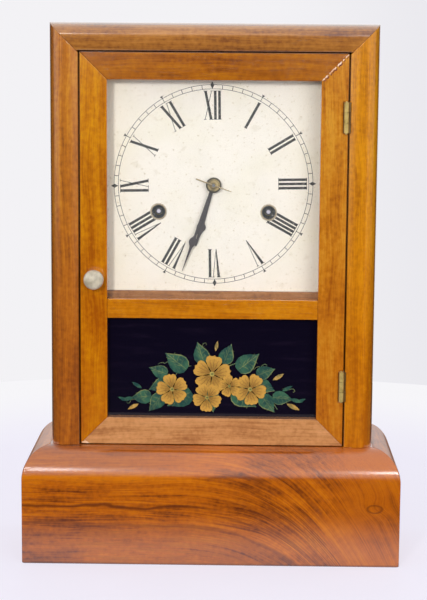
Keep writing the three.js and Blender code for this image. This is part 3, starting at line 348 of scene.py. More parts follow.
class Finish(ABC):
    """The look of a surface."""

    name: str

    @abstractmethod
    def inputs(self, graph: Graph) -> dict:
        """Works out what feeds the shader.

        Args:
            graph: The material's nodes.

        Returns:
            Values or links for the shader's sockets, by name.
        """

    def material(self) -> bpy.types.Material:
        """Builds the material."""
        graph = Graph(bpy.data.materials.new(self.name))
        return graph.surface(self.inputs(graph))


@dataclass(frozen=True)
class Grain:
    """A board's patterns, each from 0 to 1, and the place across its rings."""

    across: Sum
    ring: Sum
    streak: Sum
    fibre: Sum
    patch: Sum
    mottle: Sum
    pore: Sum


@dataclass(frozen=True)
class Shares:
    """How much each pattern changes the wood's lightness."""

    ring: float
    streak: float
    patch: float
    mottle: float


SHARES = {Figure.STRAIGHT: Shares(1.1, 0.8, 1.1, 0.7), Figure.FANNED: Shares(0.9, 1.1, 1.2, 0.45)}


@dataclass(frozen=True)
class Wood(Finish):
    """Wood with growth rings, streaks, fibres and pores, under varnish unless it has no coat."""

    name: str
    light: Colour
    body: Colour
    dark: Colour
    run: Run = Run.UP
    seed: float = 0.0
    contrast: float = 1.0
    gloss: float = 0.16
    coat: float = 1.0
    sheen: float = 0.6
    figure: Figure = Figure.STRAIGHT
    darkening: Darkening | None = None

    @staticmethod
    def fanned(x: Sum, y: Sum, z: Sum) -> Sum:
        """Bends the rings so that they sweep down to the right, and round the knot.

        Args:
            x: The place across the board.
            y: The place into the clock, along which the rings run on over the rounded edge.
            z: The place up the board.

        Returns:
            The place across the rings.
        """
        reach = (x + 40).most(0.0) / 100
        height = z + (y + BASE_DEPTH / 2) * 0.6
        knot_x, knot_z = (x - KNOT_X) / 12, (z - KNOT_Z) / 6
        near_knot = ((knot_x * knot_x + knot_z * knot_z) * -1).math("EXPONENT")
        return height + reach * reach * reach * 28 + near_knot * 11

    def fan_marks(self, graph: Graph, x: Sum, z: Sum, across: Sum, streak: Sum) -> Sum:
        """Darkens the ring lines, the lower band, the feather and the tail of the swept figure.

        Args:
            graph: The material's nodes.
            x: The place across the board.
            z: The place up the board.
            across: The place across the rings.
            streak: The streaks along the rings.

        Returns:
            How dark the marks are, from 0 to 1.
        """
        wobble = graph.noise(x * 0.03, across * 0.05, 8.0, 2.0) - 0.5
        fine = graph.noise(x * 0.03, across * 0.8, 3.0, 3.0, 0.65)
        left = (x + wobble * 60).rise(20, -30)
        line = (across + wobble * 10 - 41).away_from(0.0).rise(1.7, 0.2) * left
        second = (across + wobble * 9 - 28).away_from(0.0).rise(2.2, 0.3) * 0.6
        lower = across.rise(31, 24) * streak.rise(0.4, 0.62) * 0.45
        reach = x.rise(-15, 35) * x.rise(108, 92)
        upper = across.rise(46, 54) * across.rise(69, 63) * x.rise(18, 40)
        under = across.rise(34, 37) * across.rise(45, 41)
        middle = across.rise(36, 40) * across.rise(66, 58) * 0.5
        feather = reach * upper.most(under * 0.9).most(middle)
        cross = graph.noise(x * 0.5 + across * 0.2, across * 0.03, 5.0, 2.0).rise(0.52, 0.66)
        tail = (across - x * 0.25 - 64 + wobble * 8).away_from(0.0).rise(2.4, 0.4)
        tail = tail * x.rise(-8, 6) * x.rise(44, 34)
        marks = line.most(second).most(lower).most(feather * fine.rise(0.46, 0.58) * 0.85)
        marks = marks.most(reach * upper * cross * 0.35).most(tail * 0.8)
        knot = ((x - KNOT_X) / 5).power(2.0) + ((z - (KNOT_Z - 1)) / 2.6).power(2.0) + wobble
        eye = (knot - 1).away_from(0.0).rise(0.7, 0.1) * 0.75
        return marks.most(eye)

    def grain(self, graph: Graph, x: Sum, y: Sum, z: Sum) -> Grain:
        """Lays the patterns along the board.

        Args:
            graph: The material's nodes.
            x: The place to the right.
            y: The place inwards.
            z: The height.

        Returns:
            The patterns.
        """
        sides = {Run.ACROSS: (x, z, y), Run.INWARD: (y, z, x), Run.UP: (z, x, y)}
        along, plain, inward = sides[self.run]
        across = self.fanned(x, y, z) if self.figure is Figure.FANNED else plain
        along = along + self.seed * 137
        wander = graph.noise(along * 0.008, across * 0.02, inward * 0.02 + self.seed)
        lane = across + (wander - 0.5) * 14
        return Grain(
            across=across,
            ring=graph.noise(along * 0.006, lane * 0.17, inward * 0.1 + self.seed, 2.0),
            streak=graph.noise(along * 0.022, lane * 0.62, inward * 0.5, 3.0, 0.6),
            fibre=graph.noise(along * 0.06, lane * 1.9, inward * 1.7, 2.0, 0.6),
            patch=graph.noise(along * 0.02 + 40, plain * 0.045, inward * 0.03, 2.0),
            mottle=graph.noise(x * 0.35, y * 0.35, z * 0.35 + self.seed, 2.0),
            pore=graph.noise(along * 0.16, lane * 2.6, inward * 2.6, 1.0).rise(0.6, 0.72),
        )

    def level(self, grain: Grain, x: Sum, z: Sum) -> Sum:
        """Works out how light the wood is.

        Args:
            grain: The board's patterns.
            x: The place to the right.
            z: The height.

        Returns:
            The lightness, where 0.5 is the wood's usual colour.
        """
        share = SHARES[self.figure]
        swing = (grain.ring - 0.5) * share.ring + (grain.streak - 0.5) * share.streak
        swing = swing + (grain.patch - 0.5) * share.patch + (grain.mottle - 0.5) * share.mottle
        level = swing * self.contrast + (grain.fibre - 0.5) * 0.5 + 0.5
        if self.figure is Figure.FANNED:
            level = level - (swing * self.contrast - 0.1) * x.rise(70, 100) * 0.5
            level = level - swing * z.rise(60, 72) * 0.4
        # Painted light: upright boards get lighter towards the top.
        if self.run is Run.UP:
            level = level + (z - 240) * 0.0007
        return level

    def tint(self, graph: Graph, grain: Grain, x: Sum, y: Sum, z: Sum) -> bpy.types.NodeSocket:
        """Colours the wood, with its pores, its figure's marks, painted shade that makes upright boards
        deeper and redder towards the foot, and its darkening.

        Args:
            graph: The material's nodes.
            grain: The board's patterns.
            x: The place to the right.
            y: The place inwards.
            z: The height.

        Returns:
            The colour's socket.
        """
        stops = [(0.1, self.dark), (0.5, self.body), (0.86, self.light)]
        ramp = graph.node("ShaderNodeValToRGB", {"stops": stops}, {0: self.level(grain, x, z)})
        deep = tuple(value * 0.35 for value in self.dark)
        colour = graph.blend(grain.pore * 0.22, ramp.outputs[0], deep)
        if self.figure is Figure.FANNED:
            marks = self.fan_marks(graph, x, z, grain.across, grain.streak) * (z.rise(74, 58) * 0.5 + 0.3)
            colour = graph.blend(marks, colour, self.dark)
        # Painted shade: upright boards turn deeper and redder towards the foot.
        if self.run is Run.UP:
            painted_foot_shade = (self.body[0] * 0.96, self.body[1] * 0.5, self.body[2] * 0.1)
            colour = graph.blend(z.rise(310, 95) * 0.28, colour, painted_foot_shade)
        # The darkening is painted shade along the door's gap, and a plain darker foot and front on the base.
        if self.darkening is not None:
            colour = graph.blend(self.darkening(x, y, z), colour, deep)
        return colour

    def inputs(self, graph: Graph) -> dict:
        """Works out the wood's colour, gloss and fine relief.

        Args:
            graph: The material's nodes.

        Returns:
            Values or links for the shader's sockets, by name.
        """
        x, y, z = graph.millimetres()
        grain = self.grain(graph, x, y, z)
        speck = graph.noise(x * 0.9, y * 0.9, z * 0.9, 2.0)
        return {
            "Base Color": self.tint(graph, grain, x, y, z),
            "Roughness": (speck - 0.5) * 0.08 + (grain.fibre - 0.5) * 0.08 + self.gloss,
            "Coat Weight": speck.rise(0.1, 0.4) * self.coat, "Coat Roughness": 0.12, "Coat IOR": 1.6,
            "Specular IOR Level": self.sheen,
            "Normal": graph.bump(grain.fibre * 0.5 + grain.pore * -0.6, 0.05, 0.6),
        }


@dataclass(frozen=True)
class Metal(Finish):
    """Bare metal, brushed or drawn, with some tarnish."""

    name: str
    bright: Colour
    tarnish: Colour
    rough: float = 0.32
    worn: float = 0.5
    run: Run = Run.ACROSS
    bare: float = 0.75
    darkening: Darkening | None = None
    # The colour that the darkening mask blends in, which paints shade.
    painted_shade_colour: Colour = (0.085, 0.026, 0.002)

    def inputs(self, graph: Graph) -> dict:
        """Lays brushing, stains and painted shade over each other.

        Args:
            graph: The material's nodes.

        Returns:
            Values or links for the shader's sockets, by name.
        """
        x, y, z = graph.millimetres()
        pace = {axis: 0.25 if axis is self.run else 5.0 for axis in Run}
        brush = graph.noise(x * pace[Run.ACROSS], y * pace[Run.INWARD], z * pace[Run.UP], 2.0)
        stain = graph.noise(x * 0.18, y * 0.18, z * 0.18, 4.0, 0.6)
        colour = graph.blend(stain.rise(0.35, 0.75) * self.worn, self.bright, self.tarnish)
        colour = graph.blend(brush * 0.25, colour, self.tarnish)
        if self.darkening is not None:
            colour = graph.blend(self.darkening(x, y, z), colour, self.painted_shade_colour)
        rough = (stain - 0.5) * 0.3 + (brush - 0.5) * 0.15 + self.rough
        return {
            "Base Color": colour, "Metallic": self.bare - stain.rise(0.6, 0.9) * 0.3, "Roughness": rough,
            "Normal": graph.bump(brush * 0.6 + stain * 0.4, 0.02, 0.5),
        }


@dataclass(frozen=True)
class DialPaint(Finish):
    """Old cream paint with faint stains."""

    name: str = "dial_paint"
    cream: Colour = tone(252, 246, 233)
    yellow_and_side_shade: Colour = tone(243, 237, 208)
    fox: Colour = tone(184, 166, 118)

    def inputs(self, graph: Graph) -> dict:
        """Yellows the cream in clouds, paints shade towards the sides in the same darker yellow, and adds
        freckles and spots.

        Args:
            graph: The material's nodes.

        Returns:
            Values or links for the shader's sockets, by name.
        """
        x, y, z = graph.millimetres()
        cloud = graph.noise(x * 0.028, 3.0, z * 0.028, 3.0)
        freckle = graph.noise(x * 0.16, 7.0, z * 0.16, 2.0).rise(0.6, 0.72)
        spot = graph.noise(x * 0.6, 11.0, z * 0.6, 1.0).rise(0.64, 0.74)
        # Painted shade: the cream turns darker and yellower towards the sides, near the door's frame.
        edge = x.away_from(0.0).rise(40, 76) * 0.35
        colour = graph.blend(cloud.rise(0.42, 0.75) * 0.4 + edge, self.cream, self.yellow_and_side_shade)
        colour = graph.blend(freckle * 0.16 + spot * 0.5, colour, self.fox)
        crackle = graph.noise(x * 2.2, y * 2.2, z * 2.2, 3.0)
        return {
            "Base Color": colour, "Roughness": (cloud - 0.5) * 0.2 + 0.62,
            "Normal": graph.bump(crackle, 0.03, 0.4), "Specular IOR Level": 0.35,
        }


@dataclass(frozen=True)
class Ink(Finish):
    """Printing ink that has greyed and worn thin in places."""

    name: str = "dial_ink"
    black: Colour = tone(36, 34, 34)
    thin: Colour = tone(172, 167, 158)

    def inputs(self, graph: Graph) -> dict:
        """Wears the ink thin in places.

        Args:
            graph: The material's nodes.

        Returns:
            Values or links for the shader's sockets, by name.
        """
        x, y, z = graph.millimetres()
        worn = graph.noise(x * 0.9, y, z * 0.9, 3.0, 0.65).rise(0.52, 0.76)
        return {
            "Base Color": graph.blend(worn * 0.75, self.black, self.thin), "Roughness": worn * 0.2 + 0.55,
            "Normal": graph.bump(worn, 0.01, 0.3),
        }


@dataclass(frozen=True)
class ClearGlass(Finish):
    """Thin window glass that lets nearly all of the light through."""

    name: str = "clear_glass"
    body: Colour = tone(228, 236, 232)

    def inputs(self, graph: Graph) -> dict:
        """Adds dust and a slow ripple to the glass.

        Args:
            graph: The material's nodes.

        Returns:
            Values or links for the shader's sockets, by name.
        """
        x, y, z = graph.millimetres()
        dust = graph.noise(x * 0.05, y, z * 0.05, 3.0)
        ripple = graph.noise(x * 0.02, y, z * 0.06, 1.0)
        return {
            "Base Color": self.body, "Roughness": dust * 0.04 + 0.02,
            "Alpha": dust.rise(0.4, 0.8) * 0.016 + 0.034, "Normal": graph.bump(ripple, 0.4, 0.4), "IOR": 1.5,
        }

    def material(self) -> bpy.types.Material:
        """Builds the material, which is blended with what stands behind it.

        Returns:
            The finished material.
        """
        material = super().material()
        material.surface_render_method = "BLENDED"
        return material


@dataclass(frozen=True)
class BlackGlass(Finish):
    """Glass that is painted nearly black behind."""

    name: str = "painted_glass"
    ground: Colour = tone(13, 9, 26)
    thin: Colour = tone(34, 24, 44)

    def inputs(self, graph: Graph) -> dict:
        """Adds brush strokes and scratches to the black.

        Args:
            graph: The material's nodes.

        Returns:
            Values or links for the shader's sockets, by name.
        """
        x, y, z = graph.millimetres()
        stroke = graph.noise(x * 0.03, y, z * 0.22, 4.0, 0.6)
        scratch = graph.noise(x * 0.5, y, z * 2.4, 2.0).rise(0.7, 0.82)
        colour = graph.blend(stroke.rise(0.5, 0.85) * 0.6, self.ground, self.thin)
        colour = graph.blend(scratch * 0.25, colour, self.thin)
        return {
            "Base Color": colour, "Roughness": stroke * 0.1 + 0.08, "Specular IOR Level": 0.4,
            "Normal": graph.bump(stroke, 0.02, 0.2),
        }


@dataclass(frozen=True)
class Glaze(Finish):
    """Off-white glazed porcelain, crazed and a little grey."""

    name: str
    white: Colour = tone(212, 202, 178)
    grey: Colour = tone(158, 148, 128)

    def inputs(self, graph: Graph) -> dict:
        """Adds grey clouds and crazing to the white.

        Args:
            graph: The material's nodes.

        Returns:
            Values or links for the shader's sockets, by name.
        """
        x, y, z = graph.millimetres()
        cloud = graph.noise(x * 0.22, y * 0.22, z * 0.22, 3.0)
        crackle = graph.noise(x * 1.5, y * 1.5, z * 1.5, 4.0).away_from(0.5)
        colour = graph.blend(cloud.rise(0.35, 0.7) * 0.7, self.white, self.grey)
        colour = graph.blend(crackle.rise(0.02, 0.0) * 0.25, colour, self.grey)
        return {
            "Base Color": colour, "Roughness": cloud * 0.12 + 0.1, "Coat Weight": cloud * 0.4 + 0.3,
            "Coat Roughness": 0.06, "Normal": graph.bump(crackle, 0.02, 0.2),
        }


@dataclass(frozen=True)
class Petal(Finish):
    """Flat decorator's paint that goes from one colour at the middle to another at the rim."""

    name: str
    heart: Colour
    rim: Colour
    shade: Colour
    centre: Point
    reach: float

    def inputs(self, graph: Graph) -> dict:
        """Goes from the heart's colour to the rim's, with strokes across.

        Args:
            graph: The material's nodes.

        Returns:
            Values or links for the shader's sockets, by name.
        """
        x, _, z = graph.millimetres(self.centre)
        out = (x * x + z * z).power(0.5) / self.reach
        stroke = graph.noise(x * 0.8, 2.0, z * 0.8, 3.0, 0.65)
        streak = graph.noise(x * 0.35 + 9, 5.0, z * 1.6, 2.0)
        colour = graph.blend((out + (stroke - 0.5) * 0.9).rise(0.1, 0.95), self.heart, self.rim)
        colour = graph.blend(streak.rise(0.5, 0.72) * 0.6, colour, self.shade)
        return {
            "Base Color": colour, "Roughness": stroke * 0.1 + 0.3, "Normal": graph.bump(stroke, 0.02, 0.4),
        }


@dataclass(frozen=True)
class Foliage(Finish):
    """Green decorator's paint, laid on in strokes."""

    name: str
    body: Colour
    light: Colour
    dark: Colour

    def inputs(self, graph: Graph) -> dict:
        """Lays light strokes over a wash of two greens.

        Args:
            graph: The material's nodes.

        Returns:
            Values or links for the shader's sockets, by name.
        """
        x, _, z = graph.millimetres()
        wash = graph.noise(x * 0.16, 4.0, z * 0.16, 2.0)
        stroke = graph.noise(x * 0.9 + z * 0.5, 6.0, z * 0.35, 3.0, 0.6)
        colour = graph.blend(wash.rise(0.4, 0.62), self.dark, self.body)
        colour = graph.blend(stroke.rise(0.5, 0.75) * 0.8, colour, self.light)
        return {
            "Base Color": colour, "Roughness": stroke * 0.1 + 0.3, "Normal": graph.bump(stroke, 0.02, 0.4),
        }


def foot_darkening(x: Sum, y: Sum, z: Sum) -> Sum:
    """Darkens the last millimetres above what the clock stands on."""
    return z.rise(2.2, 0.2) * 0.7


def front_darkening(x: Sum, y: Sum, z: Sum) -> Sum:
    """Darkens the front board's foot and the left half of its rounded top."""
    return foot_darkening(x, y, z).most(z.rise(60, 68) * x.rise(10, -70) * 0.2)


def gap_shade(x: Sum, y: Sum, z: Sum) -> Sum:
    """Paints shade on the wood on both sides of the gap round the door.

    Args:
        x: The place to the right.
        y: The place inwards.
        z: The height.

    Returns:
        The share of painted shade at each place.
    """
    away = x.away_from(0.0)
    side = away.away_from(DOOR_HALF + 0.3).rise(1.05, 0.5) * z.rise(DOOR_END + 1.0, DOOR_END + 0.6)
    top = z.away_from(DOOR_END + 0.3).rise(1.05, 0.5) * away.rise(DOOR_HALF + 1.0, DOOR_HALF + 0.6)
    return side.most(top) * y.rise(-25.0, -29.0) * 0.7


def hinge_tarnish_and_shade(x: Sum, y: Sum, z: Sum) -> Sum:
    """Darkens a hinge beside its knuckles, with tarnish and painted shade of the gap there."""
    return x.away_from(KNUCKLE_X).rise(1.3, 1.8) * 0.85


def nose_glint_mask(x: Sum, y: Sum, z: Sum) -> Sum:
    """Paints a winding arbor near black, with a painted highlight left in the middle of its nose."""
    across, up = x.away_from(0.0) - WINDING_X, z - WINDING_Z
    return (across * across + up * up).rise(0.6, 3.0) * 0.92


def bare_wood(
    name: str, light: Colour, body: Colour, dark: Colour, run: Run, seed: float, gloss: float = 0.6,
) -> Wood:
    """Gives wood that was never varnished."""
    return Wood(name, light, body, dark, run, seed, gloss=gloss, coat=0.0, sheen=0.3)


BASE_FRONT = Wood(
    "base_front_wood", tone(212, 119, 0), tone(186, 94, 0), tone(102, 43, 3), Run.ACROSS, seed=1.0,
    figure=Figure.FANNED, darkening=front_darkening,
)
BASE_LEFT = Wood(
    "base_left_wood", tone(206, 122, 16), tone(182, 98, 8), tone(118, 56, 10), Run.INWARD, seed=2.0,
    gloss=0.3, coat=0.4, sheen=0.4, darkening=foot_darkening,
)
BASE_RIGHT = Wood(
    "base_right_wood", tone(208, 124, 18), tone(184, 100, 10), tone(120, 58, 12), Run.INWARD, seed=3.0,
    gloss=0.3, coat=0.4, sheen=0.4, darkening=foot_darkening,
)
# The mouldings, the stiles and the door's top rail carry painted shade along the gap round the door.
LEFT_MOULDING = Wood(
    "left_moulding_wood", tone(207, 136, 35), tone(183, 108, 27), tone(124, 71, 26), Run.UP, seed=4.0,
    contrast=0.85, darkening=gap_shade,
)
RIGHT_MOULDING = Wood(
    "right_moulding_wood", tone(234, 160, 13), tone(212, 135, 3), tone(163, 93, 3), Run.UP, seed=5.0,
    contrast=0.8, darkening=gap_shade,
)
TOP_MOULDING = Wood(
    "top_moulding_wood", tone(193, 130, 59), tone(170, 109, 46), tone(115, 64, 37), Run.ACROSS, seed=6.0,
    contrast=0.95, darkening=gap_shade,
)
CASE_LEFT = Wood(
    "case_left_wood", tone(202, 122, 18), tone(178, 98, 10), tone(126, 62, 10), Run.UP, seed=7.0,
)
CASE_RIGHT = Wood(
    "case_right_wood", tone(204, 124, 20), tone(180, 100, 10), tone(128, 64, 12), Run.UP, seed=8.0,
)
CASE_TOP = Wood(
    "case_top_wood", tone(172, 104, 28), tone(146, 82, 18), tone(94, 48, 14), Run.ACROSS, seed=9.0,
    gloss=0.42, coat=0.25,
)
LEFT_STILE = Wood(
    "left_stile_wood", tone(216, 144, 0), tone(196, 119, 0), tone(158, 83, 0), Run.UP, seed=10.0,
    contrast=1.05, darkening=gap_shade,
)
RIGHT_STILE = Wood(
    "right_stile_wood", tone(214, 147, 36), tone(196, 121, 18), tone(150, 82, 12), Run.UP, seed=11.0,
    contrast=1.05, darkening=gap_shade,
)
DOOR_TOP = Wood(
    "door_top_wood", tone(186, 113, 0), tone(165, 92, 0), tone(124, 61, 0), Run.ACROSS, seed=12.0,
    darkening=gap_shade,
)
DOOR_MIDDLE = Wood(
    "door_middle_wood", tone(218, 139, 11), tone(199, 118, 3), tone(163, 87, 0), Run.ACROSS, seed=13.0,
    contrast=0.9,
)
DOOR_BOTTOM = Wood(
    "door_bottom_wood", tone(223, 159, 104), tone(206, 143, 87), tone(166, 104, 58), Run.ACROSS, seed=14.0,
    contrast=0.9,
)
LEDGE = bare_wood(
    "ledge_wood", tone(176, 119, 67), tone(155, 98, 41), tone(105, 58, 30), Run.ACROSS, seed=15.0,
)
PALE_TIMBER = bare_wood(
    "pale_timber", tone(206, 172, 126), tone(188, 150, 102), tone(150, 108, 66), Run.UP, seed=16.0,
)
BACK_TIMBER = bare_wood(
    "back_timber", tone(176, 136, 92), tone(150, 110, 70), tone(104, 70, 42), Run.UP, seed=17.0,
)
TORN_WOOD = bare_wood(
    "torn_wood", tone(255, 240, 222), tone(240, 210, 180), tone(190, 130, 90), Run.UP, seed=18.0, gloss=0.7,
)
# Dark wood for the films of painted shadow below the torn mitre's splinters.
SPLINTER_SHADOW_WOOD = bare_wood(
    "splinter_shadow_wood", tone(140, 70, 40), tone(110, 46, 26), tone(60, 24, 16), Run.UP, seed=19.0, gloss=0.7,
)
# The hinges are darkened beside their knuckles by tarnish and painted shade.
HINGE_BRASS = Metal(
    "hinge_brass", tone(226, 198, 122), tone(146, 122, 54), rough=0.34, worn=0.8, run=Run.UP, bare=0.4,
    darkening=hinge_tarnish_and_shade,
)
HOOK_BRASS = Metal(
    "hook_brass", tone(216, 186, 106), tone(140, 116, 52), rough=0.36, worn=0.6, run=Run.UP, bare=0.4,
)
WASHER_BRASS = Metal("washer_brass", tone(190, 166, 112), tone(96, 84, 60), rough=0.4, worn=0.9, bare=0.5)
PIN_BRASS = Metal("pin_brass", tone(214, 196, 160), tone(150, 128, 88), rough=0.3, worn=0.4)
RIM_BRONZE = Metal("rim_bronze", tone(196, 180, 150), tone(128, 108, 78), rough=0.4, worn=0.7, bare=0.4)
# A darker copy of the washer's brass, which paints shade on the washer's outer ring.
WASHER_RIM_SHADE_BRASS = Metal("washer_rim_shade_brass", tone(92, 82, 64), tone(48, 42, 34), rough=0.4, worn=0.7, bare=0.4)
# Near-black cups in the winding holes: painted shade inside the holes.
CUP_SHADE_BRONZE = Metal("cup_shade_bronze", tone(22, 17, 22), tone(10, 7, 10), rough=0.45, worn=0.6, bare=0.1)
PLATE_BRASS = Metal("plate_brass", tone(204, 170, 88), tone(140, 110, 50), rough=0.3, worn=0.5)
BOB_BRASS = Metal("bob_brass", tone(206, 172, 92), tone(128, 100, 46), rough=0.26, worn=0.5)
# A near-white steel, darkened all round but for the middle of the nose: a painted highlight on each winding
# arbor, with painted shade round it.
GLINTING_WINDING_STEEL = Metal(
    "winding_steel_glint", tone(250, 244, 255), tone(196, 188, 210), rough=0.34, worn=0.4, bare=0.3,
    darkening=nose_glint_mask, painted_shade_colour=tone(26, 18, 30),
)
OLD_STEEL = Metal("old_steel", tone(150, 152, 156), tone(84, 80, 76), rough=0.38, worn=0.6)
ARBOR_STEEL = Metal("arbor_steel", tone(190, 190, 194), tone(120, 116, 110), rough=0.26, worn=0.4)
SPRING_STEEL = Metal("spring_steel", tone(96, 104, 122), tone(58, 58, 66), rough=0.28, worn=0.4)
HAND_STEEL = Metal(
    "hand_steel", tone(84, 76, 80), tone(52, 48, 50), rough=0.36, worn=0.6, run=Run.UP, bare=0.45,
)
CAST_IRON = Metal("cast_iron", tone(70, 68, 66), tone(40, 38, 37), rough=0.6, worn=0.7)
LEAF_PAINT = Foliage("leaf_paint", tone(50, 96, 74), tone(98, 124, 84), tone(24, 66, 62))
VEIN_PAINT = Foliage("vein_paint", tone(128, 136, 84), tone(160, 156, 100), tone(84, 110, 76))
BUD_PAINT = Foliage("bud_paint", tone(190, 150, 74), tone(216, 186, 120), tone(128, 112, 62))
LINE_PAINT = Foliage("petal_line_paint", tone(150, 96, 44), tone(176, 124, 60), tone(120, 74, 36))


def metres(point: Point) -> Vector:
    """Turns a place in millimetres into metres."""
    return Vector(point) * MM


def put_down() -> None:
    """Leaves edit mode and drops everything that is picked."""
    if bpy.context.object is not None and bpy.context.object.mode != "OBJECT":
        bpy.ops.object.mode_set(mode="OBJECT")
    bpy.ops.object.select_all(action="DESELECT")


def pick(*pieces: Piece) -> None:
    """Picks these pieces and nothing else, the first one active.

    Args:
        pieces: The pieces.
    """
    put_down()
    for piece in pieces:
        piece.select_set(True)
    bpy.context.view_layer.objects.active = pieces[0]


def throw_away(*pieces: Piece) -> None:
    """Deletes pieces that were only drawn to be copied or to cut with."""
    pick(*pieces)
    bpy.ops.object.delete()


def trace(name: str, points: Sequence[Point]) -> Piece:
    """Draws a chain of edges by extruding a corner from place to place, and stays in edit mode.

    Args:
        name: The new object's name.
        points: The places, in millimetres.

    Returns:
        The new object, with all of it picked.
    """
    put_down()
    bpy.ops.mesh.primitive_plane_add(size=MM, location=metres(points[0]))
    piece = bpy.context.object
    piece.name = piece.data.name = name
    bpy.ops.object.mode_set(mode="EDIT")
    bpy.ops.mesh.select_mode(type="VERT")
    bpy.ops.mesh.merge(type="CENTER")
    for here, there in zip(points, points[1:]):
        step = metres(there) - metres(here)
        bpy.ops.mesh.extrude_region_move(TRANSFORM_OT_translate={"value": step})
    bpy.ops.mesh.select_all(action="SELECT")
    return piece


def close_up() -> None:
    """Merges what lies together in the mesh being edited, and turns its faces outwards."""
    bpy.ops.mesh.select_all(action="SELECT")
    bpy.ops.mesh.remove_doubles(threshold=FUSE)
    bpy.ops.mesh.normals_make_consistent(inside=False)


def settle(piece: Piece) -> Piece:
    """Leaves edit mode and puts a piece's place into its mesh.

    Args:
        piece: The piece.

    Returns:
        The same piece.
    """
    pick(piece)
    bpy.ops.object.transform_apply(location=True, rotation=True, scale=True)
    return piece


def cut_out(name: str, outline: Sequence[Point], thickness: Point) -> Piece:
    """Fills an outline and gives it a thickness.

    Args:
        name: The new object's name.
        outline: Its corners in order, in millimetres.
        thickness: Which way and how far it is drawn out, in millimetres.

    Returns:
        The new piece.
    """
    piece = trace(name, outline)
    bpy.ops.mesh.edge_face_add()
    bpy.ops.mesh.extrude_region_move(TRANSFORM_OT_translate={"value": metres(thickness)})
    close_up()
    return settle(piece)


def turned(name: str, profile: Sequence[Pair], centre: Point, steps: int = 48) -> Piece:
    """Turns a profile about a line that runs into the clock.

    Args:
        name: The new object's name.
        profile: Pairs of a radius and a depth, in millimetres.
        centre: The place that the depths are counted from, in millimetres.
        steps: How many steps make the round.

    Returns:
        The new piece.
    """
    x, y, z = centre
    piece = trace(name, [(x + radius, y + depth, z) for radius, depth in profile])
    bpy.ops.mesh.spin(steps=steps, angle=math.tau, center=metres(centre), axis=(0, 1, 0))
    close_up()
    return settle(piece)


def block(name: str, low: Point, high: Point) -> Piece:
    """Makes a squared block.

    Args:
        name: The new object's name.
        low: Its lowest corner, in millimetres.
        high: Its highest corner, in millimetres.

    Returns:
        The new piece.
    """
    put_down()
    middle = (metres(low) + metres(high)) / 2
    bpy.ops.mesh.primitive_cube_add(size=1, location=middle, scale=metres(high) - metres(low))
    piece = bpy.context.object
    piece.name = piece.data.name = name
    return settle(piece)


def mitre(piece: Piece, place: Point, away: Point) -> None:
    """Cuts off what lies past a plane and closes the cut.

    Args:
        piece: The piece to cut.
        place: A place on the plane, in millimetres.
        away: The way that is cut off.
    """
    pick(piece)
    bpy.ops.object.mode_set(mode="EDIT")
    bpy.ops.mesh.select_all(action="SELECT")
    bpy.ops.mesh.bisect(plane_co=metres(place), plane_no=away, use_fill=True, clear_outer=True)
    close_up()
    put_down()


def ease(piece: Piece, width: float, segments: int = 2, angle: float = 30) -> None:
    """Rounds a piece's edges.

    Args:
        piece: The piece.
        width: The bevel's width in millimetres.
        segments: How many faces it has across.
        angle: Edges sharper than this many degrees are rounded.
    """
    pick(piece)
    bevel = piece.modifiers.new("edges", "BEVEL")
    bevel.width = width * MM
    bevel.segments = segments
    bevel.limit_method = "ANGLE"
    bevel.angle_limit = math.radians(angle)
    bpy.ops.object.modifier_apply(modifier=bevel.name)


def placed_copy(piece: Piece, name: str, place: Matrix) -> Piece:
    """Copies a piece with a mesh of its own and puts it somewhere else.

    Args:
        piece: The piece to copy.
        name: The copy's name.
        place: Its new place, in metres.

    Returns:
        The copy.
    """
    pick(piece)
    bpy.ops.object.duplicate(linked=False)
    twin = bpy.context.object
    twin.name = twin.data.name = name
    twin.matrix_world = place @ twin.matrix_world
    return settle(twin)


def fuse(name: str, pieces: Sequence[Piece]) -> Piece:
    """Makes one object of several.

    Args:
        name: The new object's name.
        pieces: The pieces to join.

    Returns:
        The whole.
    """
    pick(*pieces)
    if len(pieces) > 1:
        bpy.ops.object.join()
    whole = bpy.context.object
    whole.name = whole.data.name = name
    return whole


def about(x: float, z: float, turn: float) -> Matrix:
    """Gives a turn in radians, clockwise as the clock is looked at, about a line into the clock."""
    centre = metres((x, 0, z))
    return Matrix.Translation(centre) @ Matrix.Rotation(turn, 4, "Y") @ Matrix.Translation(-centre)


def shift(x: float, y: float, z: float) -> Matrix:
    """Gives a move in millimetres as a matrix."""
    return Matrix.Translation(metres((x, y, z)))


def carve(piece: Piece, cutter: Piece) -> None:
    """Takes a cutter's space out of a piece and throws the cutter away.

    Args:
        piece: The piece to cut.
        cutter: The shape to take out of it.
    """
    pick(piece)
    cut = piece.modifiers.new("cut", "BOOLEAN")
    cut.operation = "DIFFERENCE"
    cut.solver = "EXACT"
    cut.object = cutter
    bpy.ops.object.modifier_apply(modifier=cut.name)
    throw_away(cutter)


def quarter(steps: int) -> list[Pair]:
    """Gives places on a quarter of a circle of radius 1, from (1, 0) to (0, 1)."""
    turns = [math.pi / 2 * step / steps for step in range(steps + 1)]
    return [(math.cos(turn), math.sin(turn)) for turn in turns]


def ribbon(path: Sequence[Pair], width: float, tip: float = 0.35) -> list[Pair]:
    """Gives the outline of a stroke along a path.

    Args:
        path: Places along the middle of the stroke.
        width: Its width where it is widest.
        tip: The share of the width that is left at the ends.

    Returns:
        The outline's corners in order.
    """
    left, right = [], []
    last = len(path) - 1
    for index, (x, z) in enumerate(path):
        before, after = path[max(index - 1, 0)], path[min(index + 1, last)]
        run, rise = after[0] - before[0], after[1] - before[1]
        length = math.hypot(run, rise)
        swell = tip + (1 - tip) * math.sin(math.pi * index / last)
        half = width / 2 * swell / length
        left.append((x - rise * half, z + run * half))
        right.append((x + rise * half, z - run * half))
    return left + right[::-1]


